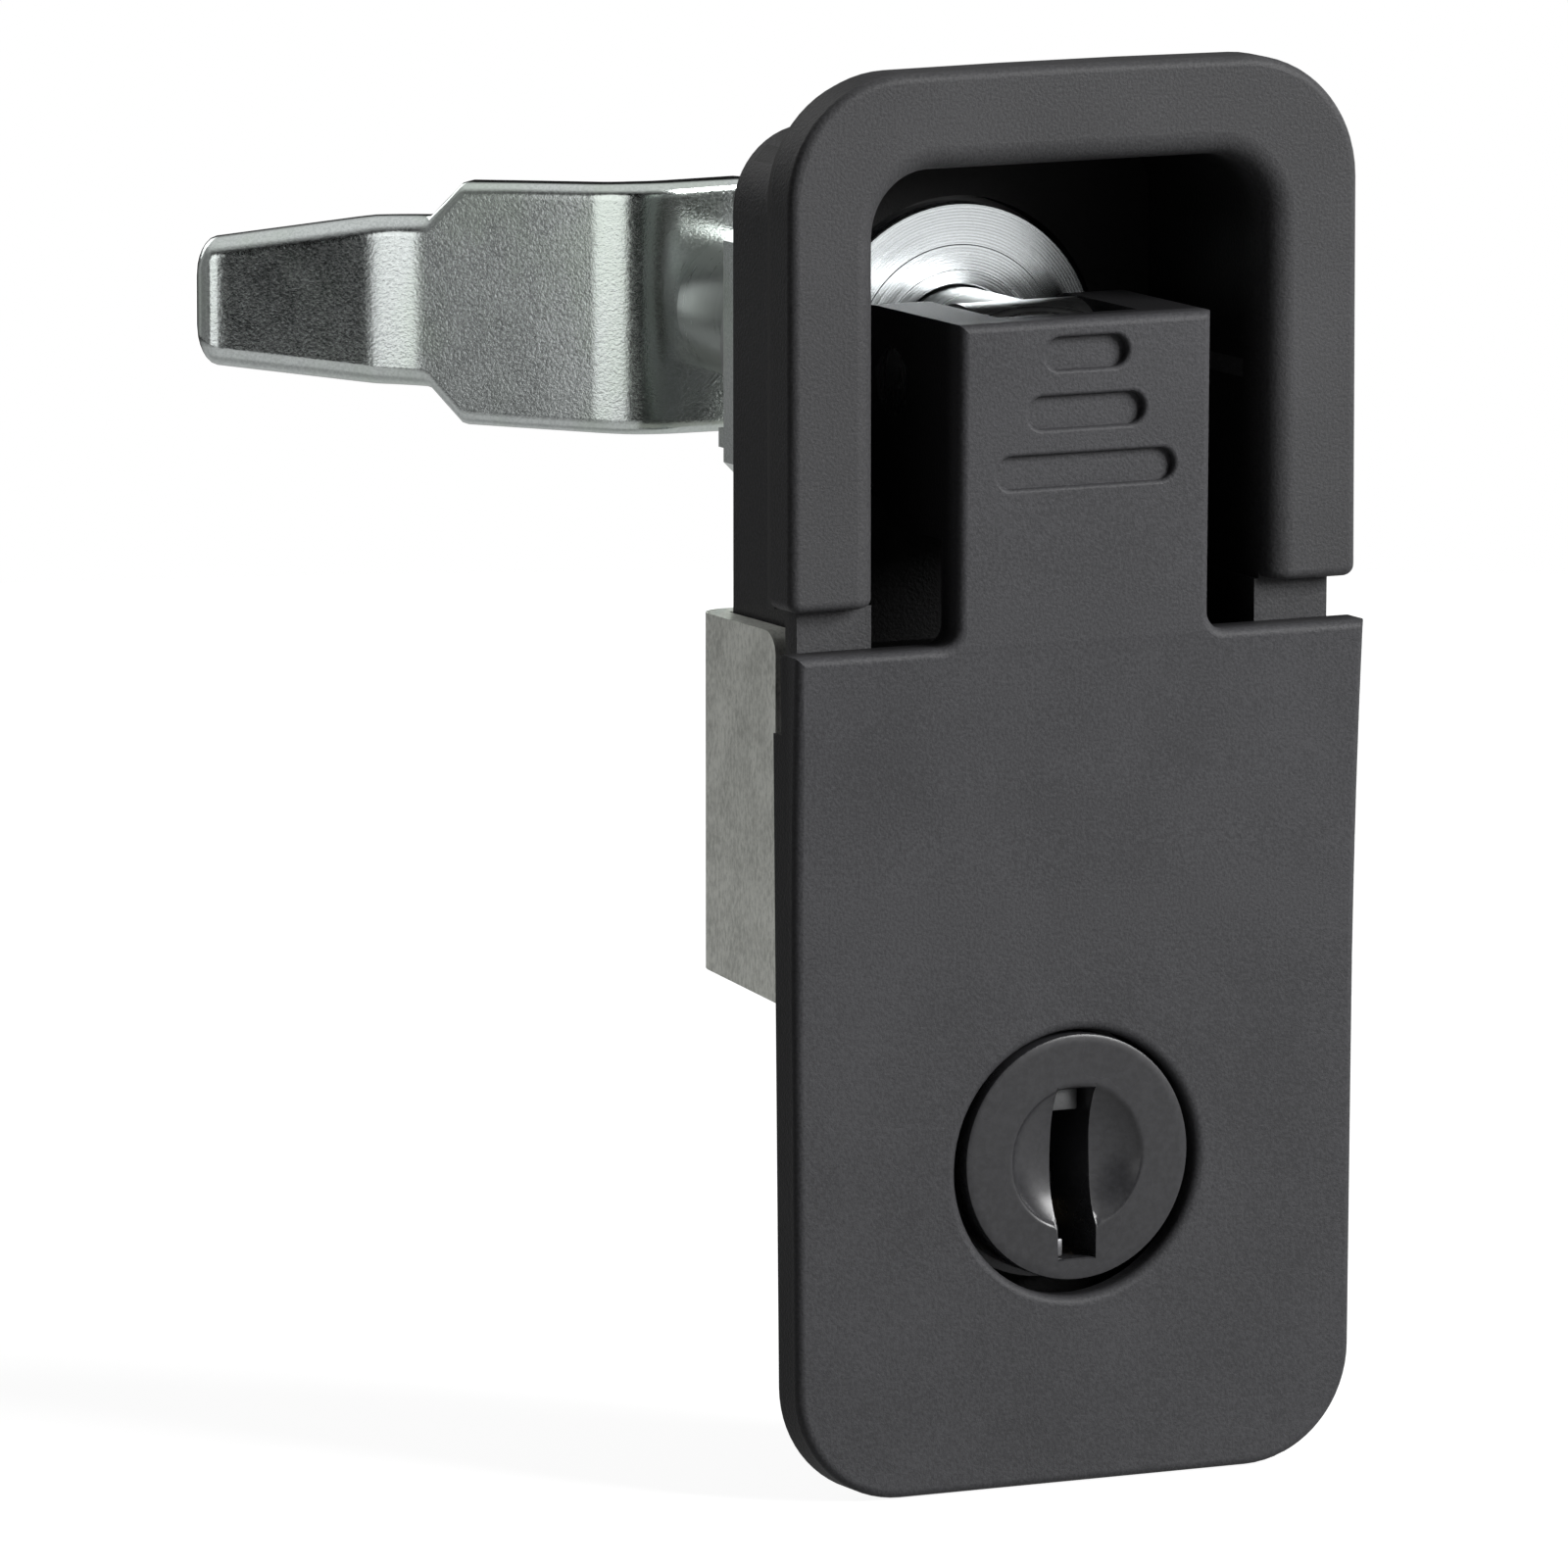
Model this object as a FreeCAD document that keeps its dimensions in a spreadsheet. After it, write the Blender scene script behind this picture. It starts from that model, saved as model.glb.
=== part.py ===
import FreeCAD, Part
import os
import re
import Sketcher

# Compression cabinet lock: a lift-and-turn lever with its own key lock.
# Millimetres. X to the right, Y to the rear, Z up. The origin lies on the spindle's axis,
# in the plane of the panel that the flange and its gasket sit on.

sizes = {
    # Raised rim of the housing, an upside-down U round the finger recess
    "rim_width": 32.6,
    "rim_top": 16.6,
    "rim_crown": 0.2,
    "rim_corner": 6.5,
    "rim_bar": 5.1,
    "leg_width": 5.0,
    "leg_bottom": 10.7,
    "rim_front": 3.2,
    "rim_inner_corner": 3.3,
    "rim_inner_round": 1.25,
    "rim_edge_round": 0.5,
    "leg_end_round": 0.6,
    # Flange and gasket behind the lever plate
    "plate_gap": 0.3,
    "strip_lip": 0.25,
    "gasket_thick": 0.8,
    "gasket_inset": 0.25,
    "land_margin": 1.0,
    "gasket_seat": 2.15,
    # Tub of the housing, which passes through the panel
    "tub_wall": 1.0,
    "floor_thick": 0.9,
    "rib_cover": 1.75,
    "rib_thick": 1.5,
    "swing_gap": 0.1,
    "swing_wall": 0.8,
    "swing_back": 7.6,
    "lock_room": 8.8,
    "low_corner": 4.0,
    # Round boss behind the recess, with its bores along the spindle
    "boss_wall": 0.9,
    "spigot_wall": 1.0,
    "disc_proud": 0.4,
    "disc_recess_gap": 0.35,
    "seal_gap": 0.1,
    "seal_side_gap": 0.4,
    "bore_land": 1.0,
    "spring_seat_depth": 1.7,
    "spring_room_gap": 0.85,
    "running_gap": 0.05,
    # Spindle, its pin and the thrust disc under the lever's ears
    "spindle_diameter": 7.5,
    "pin_diameter": 3.5,
    "pin_set_back": 3.5,
    "pin_end_gap": 0.2,
    "disc_diameter": 16.2,
    "disc_hole_gap": 0.1,
    "disc_thick": 1.5,
    "disc_step_radius": 5.95,
    "disc_step": 0.08,
    "disc_washer_thick": 1.0,
    "ear_reach": 6.6,
    "ear_lifted_reach": 3.7,
    "ear_disc_gap": 0.1,
    "ear_side_gap": 0.6,
    "eye_flat_depth": 0.35,
    "eye_flat_length": 5.6,
    "ring_wire": 1.3,
    # Lever: a T with a tab between the legs of the rim and a plate below
    "tab_side_gap": 4.1,
    "tab_front": 4.4,
    "shoulder_gap": 2.15,
    "shoulder_front": 4.15,
    "plate_front": 3.45,
    "plate_flat_drop": 33.0,
    "plate_inner": 2.1,
    "plate_proud": 0.05,
    "plate_taper": 0.4,
    "plate_corner": 6.0,
    "tab_root_round": 1.0,
    "plate_edge_round": 0.45,
    "skirt_wall": 0.85,
    "skirt_gap": 0.2,
    "skirt_back": 1.2,
    "skirt_start": 4.15,
    "ear_root_drop": 7.5,
    "groove_first": 4.75,
    "groove_second": 6.7,
    "groove_third": 10.2,
    "groove_height": 1.7,
    "groove_depth": 0.6,
    "groove_top": 2.8,
    "groove_pitch": 3.0,
    "groove_edge_round": 0.2,
    # Key lock, which stays in the housing while the lever lifts clear of it
    "lock_drop": 39.8,
    "plate_hole_low": 0.35,
    "plate_hole_gap": 0.525,
    "plate_hole_round": 0.5,
    "plug_head_diameter": 12.8,
    "plug_head_thick": 1.65,
    "plug_shoulder": 0.8,
    "plug_dish_diameter": 7.5,
    "plug_dish_depth": 1.1,
    "plug_edge": 0.25,
    "key_slot_width": 2.15,
    "key_slot_above": 3.5,
    "key_slot_floor": 0.3,
    "barrel_wall": 1.15,
    "barrel_tail": 2.0,
    "barrel_seat_gap": 0.05,
    "lock_boss_wall": 1.2,
    "lock_boss_back": 8.2,
    "clip_thick": 0.8,
    "clip_reach": 1.3,
    "wafer_thick": 1.2,
    "wafer_pitch": 2.5,
    "wafer_first": 1.8,
    "wafer_width": 6.4,
    "wafer_inset": 0.2,
    "wafer_window_width": 3.2,
    "wafer_window_height": 6.2,
    "wafer_gap": 0.1,
    "wafer_count": 4,
    "tail_diameter": 5.6,
    "tail_length": 2.0,
    # Tongue of the lock and the hook that it holds on the lever
    "tongue_front_gap": 0.05,
    "tongue_thick": 1.4,
    "tongue_back_gap": 0.65,
    "tongue_side_gap": 1.9,
    "tongue_width": 5.0,
    "hook_catch": 1.2,
    "hook_room": 0.6,
    "hook_floor_gap": 1.05,
    "hook_thick": 1.1,
    "hook_width": 5.0,
    "hook_rise": 3.0,
    "hook_toe": 1.5,
    "hook_play": 0.3,
    # Clamp bracket and its screws
    "bracket_gap": 0.3,
    "bracket_sheet": 1.25,
    "bracket_top": 12.6,
    "bracket_over": 0.8,
    "bracket_slant": 0.7,
    "bracket_front": 3.5,
    "bracket_bend": 0.25,
    "bracket_corner": 1.2,
    "bracket_screw_diameter": 3.0,
    "bracket_screw_head": 5.4,
    "bracket_screw_head_thick": 2.0,
    "bracket_screw_pitch": 9.0,
    "bracket_screw_length": 8.0,
    "screw_boss_radius": 3.0,
    "screw_boss_end": 0.95,
    # Stop plate, return spring and spring washer on the rear of the boss
    "stop_width": 19.0,
    "stop_corner": 3.7,
    "stop_thick": 1.5,
    "stop_lug_inset": 0.8,
    "stop_lug_rise": 0.5,
    "stop_lug_width": 1.0,
    "stop_lug_height": 1.0,
    "stop_lug_length": 2.2,
    "washer_radius": 8.6,
    "washer_gap": 0.9,
    "washer_thick": 1.3,
    "retainer_radius": 5.7,
    "retainer_thick": 1.0,
    "retainer_mouth": 5.2,
    "retainer_groove": 0.5,
    "spring_wire": 0.9,
    "spring_mean_radius": 5.6,
    "spring_turns": 2.5,
    # Cam behind the panel
    "cam_front": 35.5,
    "cam_sheet": 2.25,
    "cam_flat_width": 5.8,
    "cam_bend_gap": 0.3,
    "cam_slant_run": 6.3,
    "cam_slant_depth": 8.5,
    "cam_tip_run": 11.8,
    "cam_tip_depth": 5.4,
    "cam_bend_round": 2.0,
    "cam_root_width": 13.5,
    "cam_bend_width": 13.4,
    "cam_shoulder": 1.8,
    "cam_tip_root_width": 9.4,
    "cam_tip_width": 7.2,
    "cam_tip_corner": 1.0,
    "lock_washer_radius": 4.8,
    "lock_washer_thick": 1.1,
    "stud_diameter": 5.0,
    "nut_across_flats": 8.0,
    "nut_thick": 4.0,
    "stud_tail": 1.0,
}

doc = FreeCAD.newDocument("CompressionLock")
sheet = doc.addObject("Spreadsheet::Sheet", "Sizes")
for row, (alias, number) in enumerate(sizes.items(), 1):
    sheet.set(f"A{row}", alias)
    sheet.set(f"B{row}", str(number))
    sheet.setAlias(f"B{row}", alias)
doc.recompute()

# A word in a size expression is a cell of the sheet, unless it is a function
WORD = re.compile(r"(?<![\w.])(?!(?:cos|sin|tan|sqrt|atan)\b)([A-Za-z]\w*)")
FRONT_PLANE = "XZ_Plane"
SIDE_PLANE = "YZ_Plane"
TOP_PLANE = "XY_Plane"
FINE = 1e-4
nodes = []


def bound(text):
    return WORD.sub(r"Sizes.\1", text)


def value(text):
    found = sheet.evalExpression(bound(text))
    return getattr(found, "Value", found)


def spot(x, y):
    return FreeCAD.Vector(value(x), value(y), 0)


def named(thing, label):
    thing.Label = label
    nodes.append(thing)
    return thing


def body_named(label, x="0", y="0", z="0"):
    body = named(doc.addObject("PartDesign::Body", label), label)
    body.setExpression("Placement.Base.x", bound(x))
    body.setExpression("Placement.Base.y", bound(y))
    body.setExpression("Placement.Base.z", bound(z))
    return body


def empty_sketch(body, name, role, height):
    origin_plane = [part for part in body.Origin.OriginFeatures if part.Role == role][0]
    sketch = body.newObject("Sketcher::SketchObject", name)
    sketch.AttachmentSupport = [(origin_plane, "")]
    sketch.MapMode = "FlatFace"
    sketch.setExpression("AttachmentOffset.Base.z", bound(height))
    return sketch


def pin_down(sketch, geometry, end, x, y):
    place = spot(x, y)
    for kind, text, number in (("DistanceX", x, place.x), ("DistanceY", y, place.y)):
        rule = sketch.addConstraint(Sketcher.Constraint(kind, -1, 1, geometry, end, number))
        sketch.setExpression(f"Constraints[{rule}]", bound(text))


def outline(sketch, stations):
    """Closes a loop through stations (x, y), or (x, y, via x, via y) where an arc leaves."""
    spots = [spot(*station[:2]) for station in stations]
    spots.append(spots[0])
    sides = []
    for index, station in enumerate(stations):
        start, finish = spots[index:index + 2]
        side = Part.LineSegment(start, finish)
        ahead = True
        if len(station) > 2:
            # A sketch keeps its arcs anticlockwise, so a clockwise one is drawn from its far end
            via = spot(*station[2:])
            ahead = (via - start).cross(finish - via).z > 0
            side = Part.Arc(start, via, finish) if ahead else Part.Arc(finish, via, start)
        number = sketch.addGeometry(side, False)
        sides.append((number, 1, 2) if ahead else (number, 2, 1))
    for index, station in enumerate(stations):
        number, first, last = sides[index]
        following, following_first, _ = sides[(index + 1) % len(sides)]
        rule = Sketcher.Constraint("Coincident", number, last, following, following_first)
        sketch.addConstraint(rule)
        pin_down(sketch, number, first, *station[:2])
        if len(station) > 2:
            via = sketch.addGeometry(Part.Point(spot(*station[2:])), True)
            sketch.addConstraint(Sketcher.Constraint("PointOnObject", via, 1, number))
            pin_down(sketch, via, 1, *station[2:])
    return sketch


def ring(sketch, radius, x="0", y="0"):
    upright = FreeCAD.Vector(0, 0, 1)
    number = sketch.addGeometry(Part.Circle(spot(x, y), upright, value(radius)), False)
    pin_down(sketch, number, 3, x, y)
    rule = sketch.addConstraint(Sketcher.Constraint("Radius", number, value(radius)))
    sketch.setExpression(f"Constraints[{rule}]", bound(radius))
    return sketch


def settled(body, kind, name, sketch, **settings):
    feature = body.newObject("PartDesign::" + kind, name)
    feature.Profile = sketch
    for key, setting in settings.items():
        if isinstance(setting, str) and key != "Type":
            feature.setExpression(key, bound(setting))
        else:
            setattr(feature, key, setting)
    doc.recompute()
    return feature


def plate(body, name, stations, front, back):
    """A slab seen from the front, from depth front to depth back."""
    sketch = outline(empty_sketch(body, name + "Outline", FRONT_PLANE, f"0 - ({front})"), stations)
    return settled(body, "Pad", name, sketch, Length=f"({back}) - ({front})", Reversed=True)


def hollow(body, name, stations, front, back):
    """A pocket cut towards the rear, from depth front to depth back."""
    sketch = outline(empty_sketch(body, name + "Outline", FRONT_PLANE, f"0 - ({front})"), stations)
    return settled(body, "Pocket", name, sketch, Length=f"({back}) - ({front})")


def peg(body, name, radius, front, back, x="0", z="0"):
    sketch = ring(empty_sketch(body, name + "Outline", FRONT_PLANE, f"0 - ({front})"), radius, x, z)
    return settled(body, "Pad", name, sketch, Length=f"({back}) - ({front})", Reversed=True)


def drilled(body, name, radius, front, back, x="0", z="0"):
    sketch = ring(empty_sketch(body, name + "Outline", FRONT_PLANE, f"0 - ({front})"), radius, x, z)
    return settled(body, "Pocket", name, sketch, Length=f"({back}) - ({front})")


def turned(body, name, stations, kind="Revolution", height="0"):
    """Turns a loop of (radius, depth) round the axis that runs front to back."""
    sketch = outline(empty_sketch(body, name + "Outline", TOP_PLANE, height), stations)
    return settled(body, kind, name, sketch, ReferenceAxis=(sketch, ["V_Axis"]), Angle=360)


def across(body, name, stations, half_width, kind="Pad"):
    """A side view of (depth, height), as wide to the left of the middle as to the right."""
    sketch = outline(empty_sketch(body, name + "Outline", SIDE_PLANE, "0"), stations)
    return settled(body, kind, name, sketch, Length=f"2 * ({half_width})", Midplane=True)


def rectangle(left, low, right, high):
    return [(left, low), (right, low), (right, high), (left, high)]


BULGE = "(1 - sqrt(1 / 2))"


def arched(half, low, high, corner):
    """A rectangle about the middle line whose two upper corners are rounded."""
    return [
        (f"0 - {half}", low),
        (half, low),
        (half, f"{high} - {corner}", f"{half} - {corner} * {BULGE}", f"{high} - {corner} * {BULGE}"),
        (f"{half} - {corner}", high),
        (f"{corner} - {half}", high,
         f"{corner} * {BULGE} - {half}", f"{high} - {corner} * {BULGE}"),
        (f"0 - {half}", f"{high} - {corner}"),
    ]


def cupped(half, low, high, corner):
    """A rectangle about the middle line whose two lower corners are rounded."""
    return [
        (half, high),
        (f"0 - {half}", high),
        (f"0 - {half}", f"{low} + {corner}",
         f"{corner} * {BULGE} - {half}", f"{low} + {corner} * {BULGE}"),
        (f"{corner} - {half}", low),
        (f"{half} - {corner}", low, f"{half} - {corner} * {BULGE}", f"{low} + {corner} * {BULGE}"),
        (half, f"{low} + {corner}"),
    ]


def straight_run(edge, axis):
    """Whether an edge is a straight line along one axis."""
    if edge.Curve.TypeId != "Part::GeomLine":
        return False
    return abs(abs(edge.tangentAt(edge.FirstParameter).dot(axis)) - 1) < FINE


def rounded(body, name, radius, chosen, kind="Fillet"):
    """Rounds the edges of the body's last solid that chosen accepts."""
    base = body.Tip
    picked = [f"Edge{index}" for index, edge in enumerate(base.Shape.Edges, 1) if chosen(edge)]
    assert picked, f"{body.Label}: no edge found for {name}"
    feature = body.newObject("PartDesign::" + kind, name)
    feature.Base = (base, picked)
    feature.setExpression("Radius" if kind == "Fillet" else "Size", bound(radius))
    doc.recompute()
    return feature


WIDTH = FreeCAD.Vector(1, 0, 0)
DEPTH = FreeCAD.Vector(0, 1, 0)
HEIGHT = FreeCAD.Vector(0, 0, 1)


def depth_edges_at(*corners):
    """Chooses edges along the depth whose middle lies at one of the (x, z) corners."""
    places = [(value(x), value(z)) for x, z in corners]

    def chosen(edge):
        if not straight_run(edge, DEPTH):
            return False
        middle = edge.CenterOfMass
        return any(abs(middle.x - x) < FINE and abs(middle.z - z) < FINE for x, z in places)

    return chosen


def height_edges_at(*corners):
    """Chooses edges along the height whose middle lies at one of the (x, y) corners."""
    places = [(value(x), value(y)) for x, y in corners]

    def chosen(edge):
        if not straight_run(edge, HEIGHT):
            return False
        middle = edge.CenterOfMass
        return any(abs(middle.x - x) < FINE and abs(middle.y - y) < FINE for x, y in places)

    return chosen


def front_edges(depth):
    """Chooses every edge that lies wholly in the plane at one depth."""
    level = value(depth)

    def chosen(edge):
        box = edge.BoundBox
        return abs(box.YMin - level) < FINE and abs(box.YMax - level) < FINE

    return chosen


# Widths and heights of the housing
RIM_HALF = "(rim_width / 2)"
OPENING_HALF = f"({RIM_HALF} - leg_width)"
OPENING_TOP = "(rim_top - rim_bar)"
TUB_HALF = f"({OPENING_HALF} + tub_wall)"
TUB_TOP = f"({OPENING_TOP} + tub_wall)"
TUB_CORNER = "(rim_inner_corner + tub_wall)"
SHOULDER_DROP = "(leg_bottom + shoulder_gap)"
RIB_TOP = f"({SHOULDER_DROP} + rib_cover)"
DEEP_BOTTOM = "(lock_drop - lock_room)"

# The lever's plate covers the flange, which ends below the hook's room in the tub
TONGUE_REACH = f"({OPENING_HALF} - tongue_side_gap)"
HOOK_TOP = f"(lock_drop + {TONGUE_REACH} - hook_catch)"
HOOK_BOTTOM = f"({HOOK_TOP} + hook_rise)"
LOW_BOTTOM = f"({HOOK_BOTTOM} + hook_room + tub_wall)"
FLANGE_BOTTOM = f"({LOW_BOTTOM} + land_margin + gasket_seat)"
PLATE_BOTTOM = f"({FLANGE_BOTTOM} + skirt_gap + skirt_wall)"
PLATE_HALF = f"({RIM_HALF} + plate_proud)"
PLATE_LOW_HALF = f"({PLATE_HALF} - plate_taper)"
FLANGE_HALF = f"({PLATE_HALF} - skirt_wall - skirt_gap)"
FLANGE_LOW_HALF = f"({PLATE_LOW_HALF} - skirt_wall - skirt_gap)"
FLANGE_CORNER = "(plate_corner - skirt_wall - skirt_gap)"

# Depths along the spindle
STRIP_FRONT = "(plate_gap - plate_inner)"
DISC_FRONT = "(pin_set_back + ear_reach + ear_disc_gap)"
DISC_BACK = f"({DISC_FRONT} + disc_thick)"
RECESS_BACK = f"({DISC_BACK} + disc_washer_thick)"
SEAL_BACK = f"({RECESS_BACK} + ring_wire + seal_gap)"
SPRING_FRONT = f"({SEAL_BACK} + bore_land)"
BOSS_BACK = f"({SPRING_FRONT} + spring_seat_depth)"
SPIGOT_BACK = f"({BOSS_BACK} + stop_thick)"
FLOOR = f"({DISC_FRONT} + disc_proud)"
TUB_BACK = f"({FLOOR} + floor_thick)"

# Depths along the lock's plug
HEAD_FRONT = "(0 - plate_front)"
HEAD_BACK = f"({HEAD_FRONT} + plug_head_thick)"
TONGUE_FRONT = f"({HEAD_BACK} + tongue_front_gap)"
TONGUE_BACK = f"({TONGUE_FRONT} + tongue_thick)"
HOOK_TOE_FRONT = f"({TONGUE_BACK} + hook_play)"
HOOK_BACK = f"({HOOK_TOE_FRONT} + hook_toe)"
LOW_FLOOR = f"({HOOK_BACK} + hook_floor_gap)"
LOW_BACK = f"({LOW_FLOOR} + floor_thick)"
BARREL_FRONT = f"({TONGUE_BACK} + tongue_back_gap)"
WAFERS_BACK = "(wafer_first + (wafer_count - 1) * wafer_pitch + wafer_thick)"
BARREL_BACK = f"({WAFERS_BACK} + barrel_tail)"
PLUG_BACK = f"({BARREL_BACK} + running_gap)"

# Radii, of which the tab's corner gives the largest as it swings over the recess
SPINDLE_RADIUS = "(spindle_diameter / 2)"
DISC_RECESS_RADIUS = "(disc_diameter / 2 + disc_recess_gap)"
SPRING_ROOM_RADIUS = "(spring_mean_radius + spring_wire / 2 + spring_room_gap)"
SPIGOT_RADIUS = f"({SPRING_ROOM_RADIUS} + spigot_wall)"
HEAD_RADIUS = "(plug_head_diameter / 2)"
PLUG_RADIUS = f"({HEAD_RADIUS} - plug_shoulder)"
BARREL_BORE = f"({PLUG_RADIUS} + running_gap)"
BARREL_RADIUS = f"({BARREL_BORE} + barrel_wall)"
TAB_HALF = f"({OPENING_HALF} - tab_side_gap)"
EYE_HALF = f"({SPINDLE_RADIUS} - eye_flat_depth)"
EAR_THICK = f"({TAB_HALF} - {EYE_HALF} - ear_side_gap)"
TAB_RISE = "(tab_front + pin_set_back)"
EAR_TOP = "ear_lifted_reach"
TAB_SWING = f"sqrt({TAB_HALF} * {TAB_HALF} + {TAB_RISE} * {TAB_RISE} + {EAR_TOP} * {EAR_TOP})"
SWING_RADIUS = f"({TAB_SWING} + swing_gap)"

# Housing: one zinc casting with the rim, the flange, the tub and the bosses
housing = body_named("housing")
plate(housing, "Flange", [
    (f"0 - {FLANGE_HALF}", "0 - leg_bottom"),
    (f"0 - {FLANGE_LOW_HALF}", f"0 - {FLANGE_BOTTOM}"),
    (FLANGE_LOW_HALF, f"0 - {FLANGE_BOTTOM}"),
    (FLANGE_HALF, "0 - leg_bottom"),
], STRIP_FRONT, "0 - gasket_thick")
rounded(housing, "FlangeCorners", FLANGE_CORNER, depth_edges_at(
    (f"0 - {FLANGE_LOW_HALF}", f"0 - {FLANGE_BOTTOM}"), (FLANGE_LOW_HALF, f"0 - {FLANGE_BOTTOM}")))
plate(housing, "Rim", [
    (f"0 - {RIM_HALF}", "0 - leg_bottom"),
    (RIM_HALF, "0 - leg_bottom"),
    (RIM_HALF, "rim_top - rim_crown", "0", "rim_top"),
    (f"0 - {RIM_HALF}", "rim_top - rim_crown"),
], "0 - rim_front", "0 - gasket_thick")
rounded(housing, "RimCorners", "rim_corner", depth_edges_at(
    (f"0 - {RIM_HALF}", "rim_top - rim_crown"), (RIM_HALF, "rim_top - rim_crown")))
plate(housing, "Land", rectangle(
    f"0 - {TUB_HALF} - land_margin", f"0 - {LOW_BOTTOM} - land_margin",
    f"{TUB_HALF} + land_margin", f"{TUB_TOP} + land_margin"), "0 - gasket_thick", "0")
plate(housing, "Tub", arched(TUB_HALF, f"0 - {DEEP_BOTTOM}", TUB_TOP, TUB_CORNER),
      "0 - gasket_thick", TUB_BACK)
plate(housing, "LowTub", cupped(TUB_HALF, f"0 - {LOW_BOTTOM}", f"0 - {DEEP_BOTTOM}", "low_corner"),
      "0 - gasket_thick", LOW_BACK)
peg(housing, "SwingCheek", f"{SWING_RADIUS} + swing_wall", "0 - gasket_thick", "swing_back + swing_wall")
turned(housing, "SpindleBoss", [
    ("0", FLOOR),
    (f"{DISC_RECESS_RADIUS} + boss_wall", FLOOR),
    (f"{DISC_RECESS_RADIUS} + boss_wall", BOSS_BACK),
    (SPIGOT_RADIUS, BOSS_BACK),
    (SPIGOT_RADIUS, SPIGOT_BACK),
    ("0", SPIGOT_BACK),
])
peg(housing, "LockBoss", f"{BARREL_RADIUS} + barrel_seat_gap + lock_boss_wall",
    LOW_FLOOR, "lock_boss_back", "0", "0 - lock_drop")
hollow(housing, "Recess", arched(OPENING_HALF, "0 - leg_bottom", OPENING_TOP, "rim_inner_corner"),
       "0 - rim_front", FLOOR)
hollow(housing, "StripOpening", rectangle(
    f"strip_lip - {OPENING_HALF}", f"0 - {RIB_TOP}", f"{OPENING_HALF} - strip_lip", "0 - leg_bottom"),
    STRIP_FRONT, FLOOR)
drilled(housing, "SwingRelief", SWING_RADIUS, "0", "swing_back")
hollow(housing, "ClampPocket", rectangle(
    f"0 - {OPENING_HALF}", f"tub_wall - {DEEP_BOTTOM}",
    OPENING_HALF, f"0 - {RIB_TOP} - rib_thick"), STRIP_FRONT, FLOOR)
hollow(housing, "LockPocket", cupped(
    OPENING_HALF, f"(tub_wall - {LOW_BOTTOM})", f"0 - {DEEP_BOTTOM}", "(low_corner - tub_wall)"),
    STRIP_FRONT, LOW_FLOOR)
BRACKET_BACK = f"({TUB_BACK} + bracket_sheet)"
BRACKET_BOTTOM = f"({DEEP_BOTTOM} + bracket_over)"
SCREW_TIP = f"({BRACKET_BACK} - bracket_screw_length)"
SCREW_HEIGHTS = {
    "Upper": f"(bracket_screw_pitch / 2 - (bracket_top + {BRACKET_BOTTOM}) / 2)",
    "Lower": f"(0 - bracket_screw_pitch / 2 - (bracket_top + {BRACKET_BOTTOM}) / 2)",
}
for side, height in SCREW_HEIGHTS.items():
    peg(housing, side + "ScrewBoss", "screw_boss_radius", f"{SCREW_TIP} - screw_boss_end", TUB_BACK,
        "0", height)
    drilled(housing, side + "ScrewHole", "bracket_screw_diameter / 2", SCREW_TIP, TUB_BACK, "0", height)
drilled(housing, "BarrelSeat", f"{BARREL_RADIUS} + barrel_seat_gap",
        LOW_FLOOR, "lock_boss_back", "0", "0 - lock_drop")
turned(housing, "SpindleBores", [
    ("0", f"{FLOOR} - floor_thick"),
    (DISC_RECESS_RADIUS, f"{FLOOR} - floor_thick"),
    (DISC_RECESS_RADIUS, RECESS_BACK),
    (f"{SPINDLE_RADIUS} + running_gap + ring_wire + seal_side_gap", RECESS_BACK),
    (f"{SPINDLE_RADIUS} + running_gap + ring_wire + seal_side_gap", SEAL_BACK),
    (f"{SPINDLE_RADIUS} + running_gap", SEAL_BACK),
    (f"{SPINDLE_RADIUS} + running_gap", SPRING_FRONT),
    (SPRING_ROOM_RADIUS, SPRING_FRONT),
    (SPRING_ROOM_RADIUS, SPIGOT_BACK),
    ("0", SPIGOT_BACK),
], "Groove")
rounded(housing, "LegEnds", "leg_end_round", depth_edges_at(
    (f"0 - {RIM_HALF}", "0 - leg_bottom"), (RIM_HALF, "0 - leg_bottom")))
rounded(housing, "OpeningEdge", "rim_inner_round", lambda edge: (
    front_edges("0 - rim_front")(edge)
    and abs(edge.CenterOfMass.x) < value(OPENING_HALF) + FINE
    and edge.BoundBox.ZMax < value(OPENING_TOP) + FINE))
rounded(housing, "RimEdges", "rim_edge_round", front_edges("0 - rim_front"))

# Gasket: a flat rubber ring in the rebate behind the flange
gasket = body_named("panel_gasket")
plate(gasket, "Sheet", [
    (f"0 - {RIM_HALF} + gasket_inset", "0 - leg_bottom"),
    (f"0 - {FLANGE_HALF} + gasket_inset", "0 - leg_bottom"),
    (f"0 - {FLANGE_LOW_HALF} + gasket_inset", f"0 - {FLANGE_BOTTOM} + gasket_inset"),
    (f"{FLANGE_LOW_HALF} - gasket_inset", f"0 - {FLANGE_BOTTOM} + gasket_inset"),
    (f"{FLANGE_HALF} - gasket_inset", "0 - leg_bottom"),
    (f"{RIM_HALF} - gasket_inset", "0 - leg_bottom"),
    (f"{RIM_HALF} - gasket_inset", "rim_top - rim_crown - gasket_inset", "0", "rim_top - gasket_inset"),
    (f"0 - {RIM_HALF} + gasket_inset", "rim_top - rim_crown - gasket_inset"),
], "0 - gasket_thick", "0")
rounded(gasket, "LowCorners", f"{FLANGE_CORNER} - gasket_inset", depth_edges_at(
    (f"0 - {FLANGE_LOW_HALF} + gasket_inset", f"0 - {FLANGE_BOTTOM} + gasket_inset"),
    (f"{FLANGE_LOW_HALF} - gasket_inset", f"0 - {FLANGE_BOTTOM} + gasket_inset")))
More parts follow.
